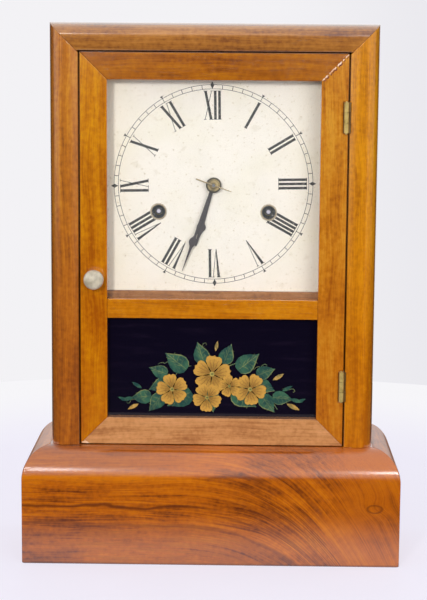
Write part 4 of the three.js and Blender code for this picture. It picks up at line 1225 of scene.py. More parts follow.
class Workshop:
    """The loaded frame and the way that finished pieces are handed over to it."""

    def __init__(self) -> None:
        """Loads the frame and notes its size."""
        self.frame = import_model()
        self.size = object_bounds()
        self.handed_over = 0

    def corners(self, node: str) -> tuple[Vector, Vector]:
        """Gives the lowest and highest corners of a piece of the frame, in millimetres."""
        low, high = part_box(node)
        return low / MM, high / MM

    def copy_of(self, node: str, name: str) -> Piece:
        """Copies a piece of the frame and merges its loose triangles into clean faces.

        Args:
            node: The frame's piece.
            name: The copy's name.

        Returns:
            The copy.
        """
        pick(self.frame["nodes"][node])
        bpy.ops.object.duplicate(linked=False)
        piece = bpy.context.object
        bpy.ops.object.parent_clear(type="CLEAR_KEEP_TRANSFORM")
        piece.name = piece.data.name = name
        for key in list(piece.keys()):
            del piece[key]
        bpy.ops.object.mode_set(mode="EDIT")
        bpy.ops.mesh.select_all(action="SELECT")
        bpy.ops.mesh.remove_doubles(threshold=FUSE)
        bpy.ops.mesh.dissolve_limited(angle_limit=math.radians(0.5))
        return settle(piece)

    def dress(self, material: bpy.types.Material, *nodes: str) -> None:
        """Gives pieces of the frame a finish.

        Args:
            material: The finish.
            nodes: The frame's pieces.
        """
        for node in nodes:
            mesh = self.frame["nodes"][node].data
            mesh.materials.clear()
            mesh.materials.append(material)
            LOG.info("dressed %s in %s", node, material.name)

    def hand_over(
        self, piece: Piece, material: bpy.types.Material, body: str, slot: str,
        replaced: Sequence[str] = (), smooth: float = 32,
    ) -> None:
        """Finishes a piece and lets it ride on a body.

        Args:
            piece: The piece.
            material: Its finish.
            body: The body that it moves with.
            slot: The record's material slot; not used.
            replaced: The frame's pieces that it stands for.
            smooth: Edges flatter than this many degrees are shaded smooth.
        """
        pick(piece)
        bpy.ops.object.shade_smooth_by_angle(angle=math.radians(smooth))
        weighted = piece.modifiers.new("flats", "WEIGHTED_NORMAL")
        weighted.keep_sharp = True
        bpy.ops.object.modifier_apply(modifier=weighted.name)
        piece.data.materials.clear()
        piece.data.materials.append(material)
        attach(piece, body)
        if replaced:
            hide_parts(*replaced)
        self.handed_over += 1
        LOG.info("made %s with %d faces, riding on %s", piece.name, len(piece.data.polygons), body)


@dataclass
class Base:
    """The rounded base: three boards mitred at the front corners, and a floor."""

    shop: Workshop
    width: float = 258.8
    depth: float = BASE_DEPTH
    height: float = 80.3
    overhang: float = 18.3
    setback: float = 17.4
    curve_height: float = 22.1
    body_width: float = 222.2
    backing_end: float = -16.0
    curve_steps: int = 18
    edge: float = 0.8

    def section(self) -> list[Pair]:
        """Works out the section, from the outer foot over the curve to the inner one.

        Returns:
            Pairs of a share inwards and a height.
        """
        start = self.height - self.curve_height
        curve = [(1 - c, start + s * self.curve_height) for c, s in quarter(self.curve_steps)]
        return [(0, 0), *curve, (1, 0)]

    def build(self) -> None:
        """Makes the boards and dresses the floor."""
        self.front_board()
        self.side_board("base_left_board", -1)
        self.side_board("base_right_board", 1)
        self.shop.dress(PALE_TIMBER.material(), "base_floor")

    def front_board(self) -> None:
        """Makes the front board and the strip of it behind the case's front."""
        half, front = self.width / 2, -self.depth / 2
        section = [(-half, front + share * self.setback, z) for share, z in self.section()]
        board = cut_out("base_front", section, (self.width, 0, 0))
        for side in (-1, 1):
            mitre(board, (side * half, front, 0), (side * self.setback, self.overhang, 0))
        low = (-self.body_width / 2, front + self.setback, 0)
        backing = block("base_backing", low, (self.body_width / 2, self.backing_end, self.height))
        ease(board, self.edge)
        whole = fuse("base_front_board_finished", [board, backing])
        self.shop.hand_over(whole, BASE_FRONT.material(), "case", "base_wood", ["base_front_board"])

    def side_board(self, node: str, side: int) -> None:
        """Makes a side board.

        Args:
            node: The frame's piece that it stands for.
            side: -1 on the left and 1 on the right.
        """
        half, front = self.width / 2, -self.depth / 2
        section = [(side * (half - share * self.overhang), front, z) for share, z in self.section()]
        board = cut_out(f"{node}_finished", section, (0, self.depth, 0))
        mitre(board, (side * half, front, 0), (-side * self.setback, -self.overhang, 0))
        ease(board, self.edge)
        finish = BASE_LEFT if side < 0 else BASE_RIGHT
        self.shop.hand_over(board, finish.material(), "case", "base_wood", [node])


@dataclass
class Case:
    """The case's boards and the mouldings round the door."""

    shop: Workshop
    width: float = 222.2
    height: float = 368.0
    foot: float = 80.3
    face: float = -30.2
    side_width: float = 20.3
    top_width: float = 18.8
    depth: float = 14.2
    crown: float = 2.6
    crown_share: float = 0.42
    inner_drop: float = 0.15
    outer_steps: int = 18
    inner_steps: int = 16
    edge: float = 0.35
    leaf_lap: float = 0.8
    screw_side: float = 8.0
    screw_foot: float = 14.0
    screw_top: float = 12.0
    screw_head: float = 3.2
    screw_sink: float = 1.4

    def section(self) -> list[Pair]:
        """Works out the mouldings' section, from the outer back edge over the crown.

        Returns:
            Pairs of a share across and a depth.
        """
        rise, share, crown = self.depth + self.crown, self.crown_share, self.crown
        outer = [(share * (1 - c), self.depth - s * rise) for c, s in quarter(self.outer_steps)]
        fall = crown * (1 + self.inner_drop)
        inner = [(share + (1 - share) * s, fall * (1 - c) - crown) for c, s in quarter(self.inner_steps)]
        return [*outer, *inner[1:], (1, self.depth)]

    def build(self) -> None:
        """Makes the boards and mouldings."""
        self.side_moulding(-1)
        self.side_moulding(1)
        self.top_moulding()
        self.boards()
        self.back_screws()

    def side_moulding(self, side: int) -> None:
        """Makes a side moulding.

        Args:
            side: -1 on the left and 1 on the right.
        """
        half = self.width / 2
        name = "left" if side < 0 else "right"
        section = [
            (side * (half - share * self.side_width), self.face + depth, self.foot)
            for share, depth in self.section()
        ]
        strip = cut_out(f"{name}_moulding", section, (0, 0, self.height - self.foot))
        mitre(strip, (side * half, 0, self.height), (-side * self.top_width, 0, self.side_width))
        ease(strip, self.edge)
        if side > 0:
            for node in ("upper_hinge_case_leaf", "lower_hinge_case_leaf"):
                low, high = self.shop.corners(node)
                start = (half - self.side_width - PAST, self.face - 4 * PAST, low.z + self.leaf_lap)
                carve(strip, block("room", start, (high.x, high.y, high.z - self.leaf_lap)))
        finish = LEFT_MOULDING if side < 0 else RIGHT_MOULDING
        self.shop.hand_over(strip, finish.material(), "case", "case_wood", [f"{name}_front_moulding"])

    def top_moulding(self) -> None:
        """Makes the top moulding, mitred at both ends."""
        half = self.width / 2
        section = [
            (-half, self.face + depth, self.height - share * self.top_width)
            for share, depth in self.section()
        ]
        strip = cut_out("top_moulding", section, (self.width, 0, 0))
        for side in (-1, 1):
            mitre(strip, (side * half, 0, self.height), (side * self.top_width, 0, -self.side_width))
        ease(strip, self.edge)
        self.shop.hand_over(strip, TOP_MOULDING.material(), "case", "case_wood", ["top_front_moulding"])

    def boards(self) -> None:
        """Eases the edges of the plain boards and dresses what is inside."""
        finishes = {
            "left_case_side": (CASE_LEFT, "case_wood"), "right_case_side": (CASE_RIGHT, "case_wood"),
            "top_board": (CASE_TOP, "case_wood"), "dial_ledge": (LEDGE, "pale_wood"),
        }
        for node, (finish, slot) in finishes.items():
            board = self.shop.copy_of(node, f"{node}_finished")
            ease(board, self.edge)
            self.shop.hand_over(board, finish.material(), "case", slot, [node])
        rails = ("left_dial_cleat", "right_dial_cleat", "left_movement_rail", "right_movement_rail")
        self.shop.dress(PALE_TIMBER.material(), *rails)

    def back_screws(self) -> None:
        """Makes the back board with four sunk screws."""
        board = self.shop.copy_of("back_board", "back_board_finished")
        low, high = self.shop.corners("back_board")
        head, sink = self.screw_head, self.screw_sink
        shank = [(0, -6), (1, -6), (1, -sink - 1), (head, -0.2), (head, 0), (0, 0)]
        first = turned("screw", shank, (0, high.y, 0))
        carve(first, block("slot", (-head - 1, high.y - 0.7, -0.35), (head + 1, high.y + 1, 0.35)))
        cone = [(0, -1.6), (1.6, -1.6), (head + 0.1, 0), (head + 0.1, 1), (0, 1)]
        screws = []
        for x in (low.x + self.screw_side, high.x - self.screw_side):
            for z in (low.z + self.screw_foot, high.z - self.screw_top):
                carve(board, turned("pit", cone, (x, high.y, z)))
                turn = Matrix.Rotation((x + z) * 1.7, 4, "Y")
                screws.append(placed_copy(first, "screw", shift(x, -0.15, z) @ turn))
        throw_away(first)
        self.shop.hand_over(board, BACK_TIMBER.material(), "case", "pale_wood", ["back_board"])
        self.shop.hand_over(fuse("back_board_screws", screws), OLD_STEEL.material(), "case", "steel")


@dataclass
class Door:
    """The door's five members, its panes and its knob."""

    shop: Workshop
    half: float = DOOR_HALF
    foot: float = 80.9
    top: float = DOOR_END
    face: float = -30.2
    member: float = 18.5
    depth: float = 14.0
    rebate: float = 4.5
    inset: float = 8.0
    middle_foot: float = 168.7
    middle_top: float = 182.0
    edge: float = 0.45
    knob_x: float = -80.4
    knob_z: float = 195.9
    bore: float = 1.95
    leaf_room: float = 0.9
    knuckle_room: Point = (3.9, 1.25, 1.1)
    bedded: float = 0.1

    def section(self, back_bevel: float = 0.0) -> list[Pair]:
        """Gives a member's section as pairs of a distance inwards and a depth."""
        narrow = self.member - self.rebate
        return [
            (0, 0), (self.member, 0), (self.member, self.inset), (narrow, self.inset), (narrow, self.depth),
            (back_bevel, self.depth),
        ]

    def build(self) -> None:
        """Makes the members, the panes and the knob."""
        self.stile(-1)
        self.stile(1)
        self.rail("door_top_rail", 1, DOOR_TOP)
        self.rail("door_bottom_rail", -1, DOOR_BOTTOM)
        self.middle_rail()
        self.torn_mitre()
        self.glazing_pins()
        self.knob()
        self.shop.dress(ClearGlass().material(), "dial_glass")
        self.shop.dress(BlackGlass().material(), "tablet_glass")
        brass = HINGE_BRASS.material()
        for place in ("upper", "lower"):
            self.shop.dress(brass, f"{place}_hinge_door_leaf", f"{place}_hinge_case_leaf")
        self.shop.dress(HOOK_BRASS.material(), "latch_hook")

    def stile(self, side: int) -> None:
        """Makes a stile, with the bore for the knob or the room for the hinges.

        Args:
            side: -1 on the left and 1 on the right.
        """
        name = "left" if side < 0 else "right"
        bevel = 0.8 if side < 0 else 0.0
        section = [
            (side * (self.half - across), self.face + y, self.foot) for across, y in self.section(bevel)
        ]
        board = cut_out(f"door_{name}_stile_finished", section, (0, 0, self.top - self.foot))
        mitre(board, (side * self.half, 0, self.top), (-side, 0, 1))
        mitre(board, (side * self.half, 0, self.foot), (-side, 0, -1))
        ease(board, self.edge)
        if side < 0:
            back = self.depth + PAST
            bore = [(0, -PAST), (self.bore, -PAST), (self.bore, back), (0, back)]
            carve(board, turned("bore", bore, (self.knob_x, self.face, self.knob_z), 24))
        else:
            self.hinge_rooms(board)
        finish = LEFT_STILE if side < 0 else RIGHT_STILE
        self.shop.hand_over(board, finish.material(), "door", "door_wood", [f"door_{name}_stile"])

    def hinge_rooms(self, board: Piece) -> None:
        """Cuts the room for the hinges' leaves and knuckles from the right stile.

        Args:
            board: The stile.
        """
        edge, front = self.half + PAST, self.face - 2 * PAST
        across, back, spare = self.knuckle_room
        for place in ("upper", "lower"):
            low, high = self.shop.corners(f"{place}_hinge_door_leaf")
            start = (self.half - self.leaf_room, front, low.z)
            carve(board, block("leaf room", start, (edge, high.y, high.z)))
            start = (self.half - across, front, low.z - spare)
            carve(board, block("knuckle room", start, (edge, self.face + back, high.z + spare)))

    def rail(self, node: str, side: int, finish: Wood) -> None:
        """Makes a rail that is mitred at both ends.

        Args:
            node: The frame's piece that it stands for.
            side: 1 for the top and -1 for the bottom.
            finish: Its wood.
        """
        edge = self.top if side > 0 else self.foot
        section = [(-self.half, self.face + y, edge - side * across) for across, y in self.section()]
        board = cut_out(f"{node}_finished", section, (2 * self.half, 0, 0))
        for end in (-1, 1):
            mitre(board, (end * self.half, 0, edge), (end, 0, -side))
        ease(board, self.edge)
        self.shop.hand_over(board, finish.material(), "door", "door_wood", [node])

    def middle_rail(self) -> None:
        """Makes the rail between the two panes."""
        front = self.half - self.member
        back = front + self.rebate
        deep = self.face + self.inset
        rail = block("rail front", (-front, self.face, self.middle_foot), (front, deep, self.middle_top))
        ease(rail, self.edge)
        tongue = block(
            "rail tongue", (-back, deep, self.middle_foot + self.rebate),
            (back, self.face + self.depth, self.middle_top - self.rebate),
        )
        whole = fuse("door_middle_rail_finished", [rail, tongue])
        self.shop.hand_over(whole, DOOR_MIDDLE.material(), "door", "door_wood", ["door_middle_rail"])

    def torn_mitre(self) -> None:
        """Makes the bare splinters along the upper right mitre, with dark films of painted shadow below
        them, and a chip at the lower left.
        """
        above = (1, 6, 0, 8, 2, 10, 1, 5, 9, 2, 7, 0, 8, 1, 6, 2, 5, 1, 4, 1)
        below = (2, 12, 3, 16, 5, 19, 3, 10, 4, 17, 4, 13, 8, 18, 2, 9, 4, 8, 2, 5)
        ragged, margin = 0.04, 0.6
        pace = (self.member - margin - 1.0) / (len(above) - 1)
        lift = self.top - self.half
        chips, splinter_shadows = [], []
        for first, last in ((0, 3), (2, 5), (5, 8), (7, 11), (11, 13), (12, 15), (15, 17), (17, 20)):
            # Each splinter is laid pale and proud, then again lower down as a dark film that paints its
            # shadow.
            for drop, proud, layer in ((0.0, 0.12, chips), (0.8, 0.04, splinter_shadows)):
                start = self.half - self.member + margin + drop
                near = [(i, start + pace * i) for i in range(first, last)]
                upper = [(x - above[i] * ragged, x + lift - 2 * drop + above[i] * ragged) for i, x in near]
                lower = [(x + below[i] * ragged, x + lift - 2 * drop - below[i] * ragged) for i, x in near]
                layer.append(self.chip(upper + lower[::-1], proud))
        corner = [(-89.6, 81.2), (-84.4, 81.2), (-85.4, 82.1), (-86.9, 83.0), (-88.2, 82.3), (-88.9, 82.6)]
        chips.append(self.chip(corner, 0.1))
        self.shop.hand_over(fuse("torn_mitre", chips), TORN_WOOD.material(), "door", "door_wood")
        self.shop.hand_over(fuse("torn_mitre_shadows", splinter_shadows), SPLINTER_SHADOW_WOOD.material(), "door", "door_wood")

    def chip(self, outline: Sequence[Pair], proud: float) -> Piece:
        """Makes a splinter that stands out from the door's face by so many millimetres."""
        back = self.face + self.bedded
        return cut_out("chip", [(x, back, z) for x, z in outline], (0, -proud - self.bedded, 0))

    def glazing_pins(self) -> None:
        """Makes the small pins that hold the panes in their rebates."""
        low, high = self.shop.corners("dial_glass")
        tablet_low, tablet_high = self.shop.corners("tablet_glass")
        profile = [(0, 0), (0.42, 0.05), (0.42, 0.6), (0.28, 0.8), (0.28, 5.0), (0, 5.6)]
        first = turned("glazing_pin", profile, (0, 0, 0), 10)
        pins = []
        for bottom, top in ((low.z, high.z), (tablet_low.z, tablet_high.z)):
            for share in (0.2, 0.8):
                for side in (-1, 1):
                    place = shift(side * (high.x - 2.6), high.y + 0.5, bottom + (top - bottom) * share)
                    lie = Matrix.Rotation(-math.pi / 2 * side, 4, "Z")
                    pins.append(placed_copy(first, "pin", place @ lie))
        throw_away(first)
        self.shop.hand_over(fuse("glazing_pins", pins), OLD_STEEL.material(), "door", "steel")

    def knob(self) -> None:
        """Makes the glazed knob, with its rolled rim and brass seat."""
        radius, neck, length, swell, seat = 6.8, 3.4, 11.4, 4.6, 1.2
        front = -seat - length
        dome = [(radius * s, front + swell * (1 - c)) for c, s in quarter(14)]
        fall = length - swell
        under = [(neck + (radius - neck) * c, front + swell + fall * s) for c, s in quarter(10)]
        profile = [*dome, *under[1:], (neck, -seat + 0.1), (0, -seat + 0.1)]
        place = (self.knob_x, self.face, self.knob_z)
        body = turned("door_knob_finished", profile, place, 48)
        self.shop.hand_over(body, Glaze("knob_glaze").material(), "latch", "porcelain", ["door_knob"], 50)
        ring = [(1.7, -0.3), (4.4, -0.3), (4.4, -0.7), (4.0, -seat), (3.0, -seat), (1.7, -seat)]
        seat_ring = turned("knob_seat", [*ring, ring[0]], place, 40)
        self.shop.hand_over(seat_ring, HOOK_BRASS.material(), "latch", "brass")


@dataclass
class Dial:
    """The painted dial with its printing, and the rims and cups of the two winding holes."""

    shop: Workshop
    centre_x: float = -0.2
    centre_z: float = 258.7
    face: float = -11.2
    numeral_foot: float = 44.4
    numeral_height: float = 19.6
    stroke: float = 1.8
    hair: float = 0.42
    gap: float = 1.05
    ring_outer: float = 68.1
    ring_inner: float = 65.2
    ring_line: float = 0.34
    tilt: float = math.radians(-1.1)
    ink: float = 0.05
    off_paint: float = 0.01
    serif_height: float = 0.36
    diamond: Pair = (1.35, 2.5)
    arrow: Pair = (1.15, 1.7)
    words: tuple[str, ...] = ("XII", "I", "II", "III", "IIII", "V", "VI", "VII", "VIII", "IX", "X", "XI")
    letter_widths: dict[str, float] = field(default_factory=lambda: {"I": 1.8, "V": 5.0, "X": 5.6})

    def build(self) -> None:
        """Prints the dial and sets its rims."""
        self.shop.dress(DialPaint().material(), "dial_plate")
        prints = [*self.numerals(), *self.minute_ring(), *self.marks()]
        whole = fuse("dial_printing", prints)
        self.shop.hand_over(whole, Ink().material(), "case", "dial_paint")
        self.rims()

    def flat(self, name: str, outline: Sequence[Pair]) -> Piece:
        """Prints a flat shape, whose corners are places to the right of the dial's centre and above it."""
        corners = [(self.centre_x + x, self.face - self.off_paint, self.centre_z + z) for x, z in outline]
        return cut_out(name, corners, (0, -self.ink, 0))

    def serif(self, left: float, right: float, foot: bool) -> Piece:
        """Draws a thin line across a letter's foot or head.

        Args:
            left: Where it starts, to the right of the letter's left edge.
            right: Where it ends.
            foot: Whether it is at the foot, and not at the head.

        Returns:
            The new piece.
        """
        low = self.numeral_foot if foot else self.numeral_foot + self.numeral_height - self.serif_height
        high = low + self.serif_height
        return self.flat("serif", [(left, low), (right, low), (right, high), (left, high)])

    def letters(self) -> dict[str, Piece]:
        """Draws each letter once, upright with its foot at the numerals' foot and its left edge at 0.

        Returns:
            The letters by name.
        """
        low, high = self.numeral_foot, self.numeral_foot + self.numeral_height
        thick, hair = self.stroke, self.hair
        v, x = self.letter_widths["V"], self.letter_widths["X"]
        point = v * 0.52
        one = [
            self.flat("stem", [(0, low), (thick, low), (thick, high), (0, high)]),
            self.serif(-0.45, thick + 0.45, True), self.serif(-0.45, thick + 0.45, False),
        ]
        five = [
            self.flat("stem", [(point - 0.2, low), (point + 0.35, low), (thick + 0.1, high), (0, high)]),
            self.flat("hair", [(point - 0.1, low), (point + 0.25, low), (v, high), (v - hair, high)]),
            self.serif(-0.5, thick + 0.6, False), self.serif(v - 1.2, v + 0.6, False),
        ]
        ten = [
            self.flat("stem", [(x - thick, low), (x, low), (thick, high), (0, high)]),
            self.flat("hair", [(0.3, low), (0.3 + hair, low), (x - 0.3, high), (x - 0.3 - hair, high)]),
            self.serif(-0.5, thick + 0.5, False), self.serif(x - 1.4, x + 0.5, False),
            self.serif(-0.4, 1.4, True), self.serif(x - thick - 0.5, x + 0.5, True),
        ]
        return {"I": fuse("I", one), "V": fuse("V", five), "X": fuse("X", ten)}

    def numerals(self) -> list[Piece]:
        """Places the twelve numerals with their feet to the centre.

        Returns:
            Their letters.
        """
        letters = self.letters()
        placed = []
        for hour, word in enumerate(self.words):
            gap = self.gap if word != "IIII" else self.gap * 0.75
            width = sum(self.letter_widths[letter] for letter in word) + gap * (len(word) - 1)
            turn = self.round_dial(hour / 12)
            left = -width / 2
            for letter in word:
                placed.append(placed_copy(letters[letter], "numeral", turn @ shift(left, 0, 0)))
                left += self.letter_widths[letter] + gap
        throw_away(*letters.values())
        return placed

    def round_dial(self, share: float) -> Matrix:
        """Gives the turn from twelve to a share of the whole round, on the slightly tilted dial."""
        return about(self.centre_x, self.centre_z, share * math.tau + self.tilt)

    def minute_ring(self) -> list[Piece]:
        """Draws the two rings and the sixty minute lines between them.

        Returns:
            The rings and the lines.
        """
        rings = []
        half = self.ring_line / 2
        back, front = -self.off_paint, -self.off_paint - self.ink
        for radius in (self.ring_outer, self.ring_inner):
            low, high = radius - half, radius + half
            profile = [(low, back), (low, front), (high, front), (high, back), (low, back)]
            rings.append(turned("ring", profile, (self.centre_x, self.face, self.centre_z), 144))
        tick, low, high = half * 1.25, self.ring_inner, self.ring_outer
        first = self.flat("minute", [(-tick, low), (tick, low), (tick, high), (-tick, high)])
        lines = [placed_copy(first, "minute", self.round_dial(minute / 60)) for minute in range(60)]
        throw_away(first)
        return [*rings, *lines]

    def marks(self) -> list[Piece]:
        """Draws a diamond at each quarter and a small arrowhead at the other hours.

        Returns:
            The marks.
        """
        middle = (self.ring_outer + self.ring_inner) / 2 + 1.1
        half, reach = self.diamond
        corners = [(0, middle - reach), (half, middle), (0, middle + reach), (-half, middle)]
        diamond = self.flat("diamond", corners)
        half, reach = self.arrow
        base = self.ring_outer + reach
        arrow = self.flat("arrow", [(0, self.ring_outer - 0.2), (half, base), (-half, base)])
        placed = [
            placed_copy(arrow if hour % 3 else diamond, "mark", self.round_dial(hour / 12))
            for hour in range(12)
        ]
        throw_away(diamond, arrow)
        return placed

    def rims(self) -> None:
        """Turns the rolled bronze rims round the winding holes, and the near-black cups inside them, which
        paint the shade in the holes.
        """
        cup = [
            (4.6, 0.3), (4.5, 1.6), (4.1, 3.0), (3.4, 4.0), (2.8, 4.4), (2.8, 4.7), (3.6, 4.3), (4.35, 3.2),
            (4.75, 1.8), (4.78, 0.3), (4.6, 0.3),
        ]
        rim = [
            (4.62, 0.9), (4.62, -0.28), (4.78, -0.46), (5.05, -0.55), (5.4, -0.5), (5.72, -0.3), (5.86, 0.0),
            (4.75, 0.0), (4.75, 0.9), (4.62, 0.9),
        ]
        rims, cups = [], []
        for x in (-WINDING_X, WINDING_X):
            cups.append(turned("cup", cup, (x, self.face, WINDING_Z)))
            rims.append(turned("rim", rim, (x, self.face, WINDING_Z)))
        self.shop.hand_over(fuse("winding_rims", rims), RIM_BRONZE.material(), "case", "brass")
        self.shop.hand_over(fuse("winding_cups", cups), CUP_SHADE_BRONZE.material(), "case", "brass")


@dataclass
class Hands:
    """The hour and minute hands, the washer and the taper pin that keeps them on."""

    shop: Workshop
    centre_z: float = 258.7
    hour_turn: float = math.radians(196)
    minute_turn: float = math.radians(199.7)
    pin_turn: float = math.radians(19.6)
    pin_reach: float = 13.0
    hour_boss: float = 4.6
    hour_bore: float = 2.95
    minute_boss: float = 4.0
    minute_bore: float = 1.15

    @staticmethod
    def outline(edge: Sequence[Pair], boss: float) -> list[Pair]:
        """Gives a hand's outline, pointing up from its boss.

        Args:
            edge: Half the hand's width and the place along it, from the boss to the point.
            boss: The boss's radius.

        Returns:
            Places to the right and up, in order.
        """
        start = math.asin(edge[0][0] / boss)
        steps = 20
        turns = [start + (math.tau - 2 * start) * step / steps for step in range(1, steps)]
        ring = [(boss * math.sin(turn), boss * math.cos(turn)) for turn in turns]
        return [*edge[::-1], *ring, *((-x, z) for x, z in edge)]

    def build(self) -> None:
        """Makes the hands and what holds them."""
        hour = [
            (0.95, 4.5), (1.15, 14), (1.45, 27), (2.0, 27.9), (2.8, 28.8), (3.2, 30), (3.05, 31.3),
            (2.4, 32.4), (1.8, 33.6), (1.3, 35.2), (0.95, 37.4), (0.75, 40.6), (0.5, 43.6), (0.2, 44),
        ]
        minute = [
            (1.15, 3.8), (1.05, 20), (0.85, 37.4), (1.15, 38.3), (1.9, 39.1), (2.5, 40.1), (2.8, 41.4),
            (2.6, 42.6), (1.95, 43.8), (1.25, 44.9), (0.9, 46.4), (0.7, 50), (0.5, 56), (0.28, 61),
            (0.1, 63.2),
        ]
        hour_outline = self.outline(hour, self.hour_boss)
        minute_outline = self.outline(minute, self.minute_boss)
        self.hand("hour_hand", "hour", hour_outline, self.hour_turn, self.hour_bore)
        self.hand("minute_hand", "minute", minute_outline, self.minute_turn, self.minute_bore)
        self.washer()
        self.taper_pin()

    def hand(self, node: str, body: str, outline: Sequence[Pair], turn: float, bore: float) -> None:
        """Makes one hand with slightly rounded edges.

        Args:
            node: The frame's piece that it stands for.
            body: The body that it moves with.
            outline: Its corners, pointing up.
            turn: Where it points, clockwise from twelve.
            bore: Its hole's radius.
        """
        low, high = self.shop.corners(node)
        corners = [(x, low.y, self.centre_z + z) for x, z in outline]
        hand = cut_out(f"{node}_finished", corners, (0, high.y - low.y, 0))
        ease(hand, 0.14, 2, 40)
        front, back = low.y - PAST, high.y + PAST
        hole = [(0, front), (bore, front), (bore, back), (0, back)]
        carve(hand, turned("bore", hole, (0, 0, self.centre_z), 32))
        hand.matrix_world = about(0, self.centre_z, turn)
        settle(hand)
        self.shop.hand_over(hand, HAND_STEEL.material(), body, "blued_steel", [node], 20)

    def washer(self) -> None:
        """Turns the dished brass washer, and its outer ring in a darker brass that paints shade."""
        low, high = self.shop.corners("hand_washer")
        thick = high.y - low.y
        profile = [
            (1.15, thick), (1.15, 0.12), (1.5, 0.02), (2.7, 0.02), (3.0, 0.25), (3.3, 0.27), (3.6, 0.06),
            (4.1, 0.06), (4.3, 0.2), (4.3, thick), (1.15, thick),
        ]
        ring = turned("hand_washer_finished", profile, (0, low.y, self.centre_z))
        self.shop.hand_over(ring, WASHER_BRASS.material(), "minute", "brass", ["hand_washer"], 50)
        # The outer ring is its own piece in a darker brass: painted shade.
        profile = [
            (4.22, thick), (4.22, 0.12), (4.4, 0.0), (4.8, 0.0), (5.2, 0.2), (5.35, thick * 0.55),
            (5.3, thick), (4.22, thick),
        ]
        rim = turned("hand_washer_rim", profile, (0, low.y, self.centre_z))
        self.shop.hand_over(rim, WASHER_RIM_SHADE_BRASS.material(), "minute", "brass")

    def taper_pin(self) -> None:
        """Turns the long taper pin and lays it through the arbor's nose."""
        low, high = self.shop.corners("hand_pin")
        y = (low.y + high.y) / 2
        end = self.pin_reach
        profile = [(0, -end), (0.42, 0.1 - end), (0.5, 0.4 - end), (0.4, 0)]
        profile += [(0.3, end - 0.3), (0.2, end), (0, end)]
        pin = turned("hand_pin_finished", profile, (0, 0, 0), 12)
        lie = Matrix.Rotation(-math.pi / 2, 4, "Z")
        pin.matrix_world = shift(0, y, self.centre_z) @ Matrix.Rotation(self.pin_turn, 4, "Y") @ lie
        settle(pin)
        self.shop.hand_over(pin, PIN_BRASS.material(), "minute", "brass", ["hand_pin"], 50)


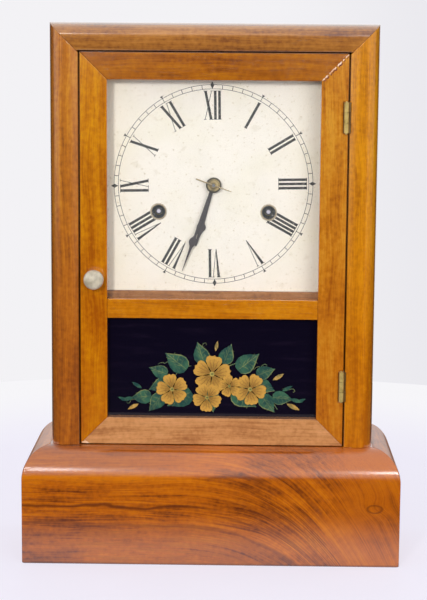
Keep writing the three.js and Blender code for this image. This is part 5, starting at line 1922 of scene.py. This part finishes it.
@dataclass
class Tablet:
    """A spray of flowers painted on the black pane, in a low mound."""

    shop: Workshop
    middle_z: float = 122.0
    layer: float = 0.02
    skin: float = 0.03
    off_glass: float = 0.01
    spread: float = 1.1
    laid: int = 0
    petal_lines: list[Piece] = field(default_factory=list)

    def flat(self, name: str, outline: Sequence[Pair]) -> Piece:
        """Cuts a thin film of paint at the pane's face, drawn about the origin."""
        return cut_out(name, [(x, 0, z) for x, z in outline], (0, -self.skin, 0))

    def lay(self, shape: Piece, x: float, z: float, turn: float, size: float, above: int = 1) -> Piece:
        """Lays a copy of a shape on the pane, over what lies there.

        Args:
            shape: The shape, drawn about the origin.
            x: Its place to the right, in millimetres.
            z: Its place above the spray's middle, in millimetres.
            turn: Its turn in degrees, clockwise.
            size: How much larger or smaller it is.
            above: How many layers it lies above the last one.

        Returns:
            The copy.
        """
        self.laid += above
        low, _ = self.shop.corners("tablet_glass")
        front = low.y - self.off_glass - self.layer * self.laid
        place = shift(x * self.spread, front, self.middle_z + z * self.spread)
        spun = Matrix.Rotation(math.radians(turn), 4, "Y") @ Matrix.Diagonal((size, 1, size, 1))
        return placed_copy(shape, shape.name, place @ spun)

    def shapes(self) -> dict[str, Piece]:
        """Draws each motif once.

        Returns:
            The motifs by name.
        """
        corner = math.tau / 14
        curl = [
            (0, 0), (1.4, 1.8), (3.4, 2.6), (5.0, 2.0), (5.8, 3.4), (7.6, 4.4), (9.2, 3.6), (9.0, 2.2),
            (7.9, 2.1),
        ]
        rim = [(2.0, 0.3), (3.5, 1.7), (4.15, 3.8), (3.7, 6.1), (2.4, 8.3), (1.1, 10.3), (0, 12.3)]
        stem = [(0, 0), (1.6, 3.4), (3.9, 6.2), (7.2, 8.2), (11.0, 9.2), (15.0, 9.6)]
        outlines = {
            "petal": [
                (0, 0), (1.2, 2.2), (3.0, 4.2), (4.0, 6.4), (3.7, 8.2), (2.4, 9.0), (1.0, 8.7), (0.1, 9.5),
                (-1.2, 8.9), (-2.6, 9.1), (-3.8, 8.0), (-4.0, 6.2), (-2.9, 4.0), (-1.2, 2.1),
            ],
            "leaf": [
                (0, 0), (2.0, 0.2), (3.6, 1.6), (4.3, 3.8), (3.8, 6.2), (2.5, 8.4), (1.1, 10.4), (0, 12.6),
                (-1.0, 10.6), (-2.6, 8.8), (-4.0, 6.4), (-4.4, 3.8), (-3.6, 1.5), (-1.9, 0.1),
            ],
            "slim": [
                (0, 0), (0.9, 1.4), (1.5, 3.4), (1.6, 5.4), (1.1, 7.6), (0, 10), (-1.0, 7.7), (-1.5, 5.4),
                (-1.4, 3.3), (-0.8, 1.4),
            ],
            "vein": ribbon([(0, 0.4), (0.1, 3), (0.0, 6), (0.1, 9), (0, 11.6)], 0.34),
            "branch": ribbon([(0, 0), (0.9, 0.9), (1.8, 1.5), (2.7, 1.9)], 0.24),
            "rim": ribbon(rim, 0.5),
            "line": ribbon([(0, 2.0), (0.2, 4.0), (0, 6.0), (0.15, 7.6)], 0.26),
            "curl": ribbon(curl, 0.42),
            "stem": ribbon(stem, 0.5, 0.6),
            "eye": [(math.cos(corner * step) * 1.2, math.sin(corner * step) * 1.2) for step in range(14)],
        }
        return {name: self.flat(name, outline) for name, outline in outlines.items()}

    def leaf(self, shapes: dict[str, Piece], spot: Spot) -> tuple[Piece, list[Piece]]:
        """Lays a leaf and its veins.

        Args:
            shapes: The motifs.
            spot: The place, turn and size.

        Returns:
            The leaf, and its veins as a list.
        """
        x, z, turn, size = spot
        size *= 1.2
        blade = self.lay(shapes["leaf"], x, z, turn, size)
        veins = [self.lay(shapes[name], x, z, turn, size) for name in ("vein", "rim")]
        way = Matrix.Rotation(math.radians(turn), 4, "Y")
        for along in (2.6, 4.9, 7.1):
            for lean in (-78, 12):
                start = way @ Vector((0, 0, along * size))
                veins.append(self.lay(shapes["branch"], x + start.x, z + start.z, turn + lean, size, 0))
        return blade, veins

    def flower(self, shapes: dict[str, Piece], index: int, spot: Spot) -> None:
        """Paints a five-petalled flower with a paler eye.

        Args:
            shapes: The motifs.
            index: The flower's number.
            spot: The place, turn and size.
        """
        x, z, turn, size = spot
        size *= 1.16
        petals = [self.lay(shapes["petal"], x, z, turn + 72 * step, size) for step in range(5)]
        self.laid += 1
        for step in range(5):
            for lean in (-17, 0, 17):
                self.petal_lines.append(self.lay(shapes["line"], x, z, turn + 72 * step + lean, size, 0))
        whole = fuse(f"tablet_flower_{index}", petals)
        centre = (x * self.spread, 0.0, self.middle_z + z * self.spread)
        heart, edge, shade = tone(146, 110, 44), tone(208, 158, 68), tone(156, 100, 42)
        finish = Petal(f"flower_paint_{index}", heart, edge, shade, centre, 9.5 * size)
        self.shop.hand_over(whole, finish.material(), "door", "painted_glass")
        eye = self.lay(shapes["eye"], x, z, 0, size)
        eye.name = eye.data.name = f"tablet_flower_eye_{index}"
        heart, edge, shade = tone(96, 100, 50), tone(190, 172, 92), tone(88, 84, 40)
        paint = Petal(f"eye_paint_{index}", heart, edge, shade, centre, 1.5)
        self.shop.hand_over(eye, paint.material(), "door", "painted_glass")

    def build(self) -> None:
        """Paints stems and leaves first, then buds and flowers over them."""
        shapes = self.shapes()
        stems = self.lay_all(shapes["stem"], (
            (20, -4, 62, 1.5), (-20, -4, -152, 1.5), (6, 6, 10, 1.2), (-24, 2, -8, 0.9),
        ))
        curls = self.lay_all(shapes["curl"], (
            (26, 9, 0, 1.0), (-34, 12, 14, 0.9), (-8, 19, -40, 0.9), (44, -3, 28, 0.9), (-48, -8, 160, 0.8),
        ))
        blades, veins = [], []
        for spot in (
            (-27, 1, -112, 1.0), (27, 1, 112, 1.0), (-16, 9, -52, 1.25), (16, 9, 52, 1.25),
            (-5, 13, -18, 1.05), (7, 13, 22, 1.0), (-38, -8, -96, 0.95), (38, -8, 96, 0.95),
            (-13, -5, -122, 1.3), (13, -5, 122, 1.3), (-1, -4, 172, 1.05), (-31, -7, -142, 1.0),
            (31, -7, 142, 1.0), (-28, 6, -70, 0.9), (28, 6, 70, 0.9),
        ):
            blade, lines = self.leaf(shapes, spot)
            blades.append(blade)
            veins += lines
        slim = self.lay_all(shapes["slim"], (
            (-49, -9, -104, 0.9), (-53, -11, -70, 0.7), (49, -9, 104, 0.9), (53, -11, 70, 0.7),
            (-44, -3, -58, 0.8), (44, -4, 62, 0.8),
        ))
        buds = self.lay_all(shapes["slim"], (
            (-46, -13, -118, 0.85), (47, -12, 116, 1.0), (2, 21, 12, 0.75), (38, 3, 60, 0.9),
        ))
        self.paint("tablet_leaves", blades + slim, LEAF_PAINT)
        self.paint("tablet_veins", veins + stems + curls, VEIN_PAINT)
        self.paint("tablet_buds", buds, BUD_PAINT)
        for index, spot in enumerate((
            (0, 6.5, 8, 1.2), (-25, -3.5, -12, 1.0), (24, -3.0, 30, 1.02), (-3, -8.5, 40, 0.92),
            (11, -1, 60, 0.7),
        )):
            self.flower(shapes, index, spot)
        self.paint("tablet_petal_lines", self.petal_lines, LINE_PAINT)
        throw_away(*shapes.values())

    def lay_all(self, shape: Piece, spots: Sequence[Spot]) -> list[Piece]:
        """Lays copies of a shape one after the other, each at its own place, turn and size."""
        return [self.lay(shape, *spot) for spot in spots]

    def paint(self, name: str, films: Sequence[Piece], paint: Foliage) -> None:
        """Makes one painted piece of several films."""
        self.shop.hand_over(fuse(name, films), paint.material(), "door", "painted_glass")


@dataclass
class Movement:
    """The brass and steel of the movement, the pendulum and the gong."""

    shop: Workshop

    def build(self) -> None:
        """Gives each piece of the frame its metal."""
        metals = (
            (PLATE_BRASS, (
                "movement_front_plate", "movement_back_plate", "pendulum_cock", "minute_wheel", "hour_wheel",
                "time_great_wheel", "second_wheel", "centre_wheel", "third_wheel", "escape_wheel",
                "strike_great_wheel", "pin_wheel", "lock_wheel",
            )),
            (OLD_STEEL, ("verge", "fly", "hammer", "pendulum_rod", "rating_nut")),
            (GLINTING_WINDING_STEEL, ("time_winding_arbor", "strike_winding_arbor")),
            (ARBOR_STEEL, ("centre_arbor",)),
            (SPRING_STEEL, ("time_mainspring", "strike_mainspring", "gong_coil")),
            (CAST_IRON, ("gong_foot",)),
            (BOB_BRASS, ("pendulum_bob",)),
        )
        for metal, nodes in metals:
            self.shop.dress(metal.material(), *nodes)


@dataclass(frozen=True)
class Lamp:
    """A round lamp that either lights dull surfaces or only shows as a glint on glossy ones."""

    name: str
    place: Point
    size: float
    power: float
    aim: float = 200.0
    colour: Colour = WHITE
    glint: bool = False

    def hang(self) -> None:
        """Hangs the lamp and points it at the clock."""
        put_down()
        bpy.ops.object.light_add(type="AREA", location=metres(self.place))
        lamp = bpy.context.object
        lamp.name = self.name
        lamp.data.shape = "DISK"
        lamp.data.size = self.size
        lamp.data.energy = self.power
        lamp.data.color = self.colour
        way = metres((0, 0, self.aim)) - metres(self.place)
        lamp.rotation_euler = way.to_track_quat("-Z", "Y").to_euler()
        lamp.visible_diffuse = not self.glint
        lamp.visible_glossy = self.glint


LAMPS = (
    Lamp("key", (-330, -1390, 560), 0.16, 9.6, 190, (1.0, 0.99, 0.98)),
    Lamp("glint", (-330, -1390, 560), 0.2, 2.4, 190, glint=True),
    Lamp("glint", (330, -1390, 560), 0.2, 1.6, 190, glint=True),
    Lamp("overhead", (0, -500, 1250), 1.5, 2.8, colour=(0.97, 0.97, 1.0)),
    Lamp("fill", (650, -1250, 420), 0.9, 7.0),
    Lamp("fill", (-1500, 350, 750), 1.2, 6.0),
    Lamp("fill", (1500, 350, 750), 1.2, 6.0),
    Lamp("fill", (0, 1500, 900), 1.2, 6.0),
)


@dataclass
class Studio:
    """The pale floor, the lamps, the world and the camera."""

    floor_radius: float = 620.0
    plain_floor: float = 300.0
    mirrored_front: Pair = (-178.0, -75.0)
    mirrored_round: Pair = (420.0, 220.0)
    paper_light: Colour = tone(141, 140, 146)
    paper_dark: Colour = tone(138, 137, 143)
    pale: Colour = tone(243, 242, 245)
    painted_backdrop_shadow: Colour = tone(234, 233, 238)
    ground: Colour = tone(241, 238, 250)
    glow: float = 0.73
    ambient: Colour = tone(150, 149, 156)
    dim_room: Colour = tone(26, 24, 24)
    lens: float = 103.61
    eye: Point = (16.73, -1191.66, 360.08)
    yaw: float = 0.0138
    pitch: float = 0.1523
    roll: float = -0.0078

    def build(self) -> None:
        """Sets everything up."""
        self.floor()
        for lamp in LAMPS:
            lamp.hang()
        self.world()
        self.camera()

    def floor(self) -> None:
        """Makes the floor, a round sheet that fades into the pale world around it."""
        radius = self.floor_radius
        sheet = turned("floor", [(0, 0.0), (radius * 0.5, 0.0), (radius, 0.0)], (0, 0, 0), 96)
        pick(sheet)
        sheet.rotation_euler = (math.pi / 2, 0, 0)
        settle(sheet)
        graph = Graph(bpy.data.materials.new("floor_paper"))
        rays = graph.node("ShaderNodeLightPath")
        x, y, z = graph.millimetres()
        glossy = Sum(graph, rays.outputs["Is Glossy Ray"])
        near = y.rise(*self.mirrored_front)
        through = Sum(graph, rays.outputs["Is Transmission Ray"])
        seen = Sum(graph, rays.outputs["Is Camera Ray"]).most(through)
        away = (x * x + y * y).power(0.5)
        near = near * away.rise(*self.mirrored_round)
        seen = seen.most(glossy * near)
        far = away.rise(self.plain_floor, radius * 0.94)
        cloud = graph.noise(x * 0.01, y * 0.01, z * 0.01, 2.0)
        paper = graph.blend(cloud.rise(0.3, 0.7), self.paper_dark, self.paper_light)
        paper = graph.blend(far.most(glossy * (1 - near)), paper, BLACK)
        ground = graph.blend(far, tuple(value * self.glow for value in self.ground), self.pale)
        sheet.data.materials.clear()
        sheet.data.materials.append(graph.surface({
            "Base Color": paper, "Roughness": cloud * 0.1 + 0.7, "Specular IOR Level": 0.1,
            "Emission Color": graph.blend(seen, BLACK, ground), "Emission Strength": 1.0,
        }))
        sheet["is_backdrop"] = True

    def world(self) -> None:
        """Lights the object from all round, with a paler sky behind and above than in front, and a painted
        shadow on the backdrop to the right, seen by the camera only.
        """
        graph = Graph(bpy.data.worlds.new("studio"))
        bpy.context.scene.world = graph.owner
        rays = graph.node("ShaderNodeLightPath")
        way = graph.node("ShaderNodeTexCoord").outputs["Generated"]
        split = graph.node("ShaderNodeSeparateXYZ", None, {0: way})
        across, behind, up = (Sum(graph, output) for output in split.outputs)
        beside = (across * -1).rise(0.2, 0.7).most(across.rise(0.2, 0.7) * 0.6)
        window = beside * up.rise(-0.16, 0.0) * behind.rise(0.45, 0.15) * 0.6
        open_side = up.rise(0.0, 0.18).most(behind.rise(0.92, 1.0)).most(window)
        through = Sum(graph, rays.outputs["Is Transmission Ray"])
        mirrored = Sum(graph, rays.outputs["Is Glossy Ray"]).most(through)
        pale = Sum(graph, rays.outputs["Is Camera Ray"]).most(mirrored * open_side)
        room = graph.blend(mirrored * (1 - open_side), self.ambient, self.dim_room)
        # Painted shadow: the backdrop that the camera sees darkens towards the right.
        wall = graph.blend(across.rise(0.0, 0.13) * (1 - mirrored), self.pale, self.painted_backdrop_shadow)
        wall = graph.blend(mirrored, wall, WHITE)
        shown = graph.blend(pale, room, wall)
        sky = graph.node("ShaderNodeBackground", None, {"Color": shown, "Strength": 1.0})
        graph.node("ShaderNodeOutputWorld", None, {0: sky.outputs[0]})

    def camera(self) -> None:
        """Stands the camera where the photograph was taken from."""
        cos, sin = math.cos, math.sin
        level = cos(self.pitch)
        forward = Vector((-sin(self.yaw) * level, cos(self.yaw) * level, -sin(self.pitch)))
        right = Vector((cos(self.yaw), sin(self.yaw), 0.0))
        down = forward.cross(right)
        across = cos(self.roll) * right + sin(self.roll) * down
        fall = cos(self.roll) * down - sin(self.roll) * right
        put_down()
        bpy.ops.object.camera_add(location=metres(self.eye))
        camera = bpy.context.object
        turn = Matrix((across, -fall, -forward)).transposed()
        camera.rotation_euler = turn.to_euler()
        camera.data.sensor_width = 36.0
        camera.data.sensor_fit = "AUTO"
        camera.data.lens = self.lens
        camera.data.clip_start = 0.01
        camera.data.clip_end = 20.0
        bpy.context.scene.camera = camera
        bpy.context.scene.view_settings.view_transform = "Standard"


def main() -> None:
    """Builds the clock's look piece by piece."""
    logging.basicConfig(level=logging.INFO, format="%(name)s: %(message)s")
    shop = Workshop()
    parts = (Base(shop), Case(shop), Door(shop), Dial(shop), Hands(shop), Tablet(shop), Movement(shop))
    for part in (*parts, Studio()):
        part.build()
        LOG.info("finished %s", type(part).__name__)
    put_down()
    LOG.info("handed over %d pieces", shop.handed_over)


if __name__ == "__main__":
    main()
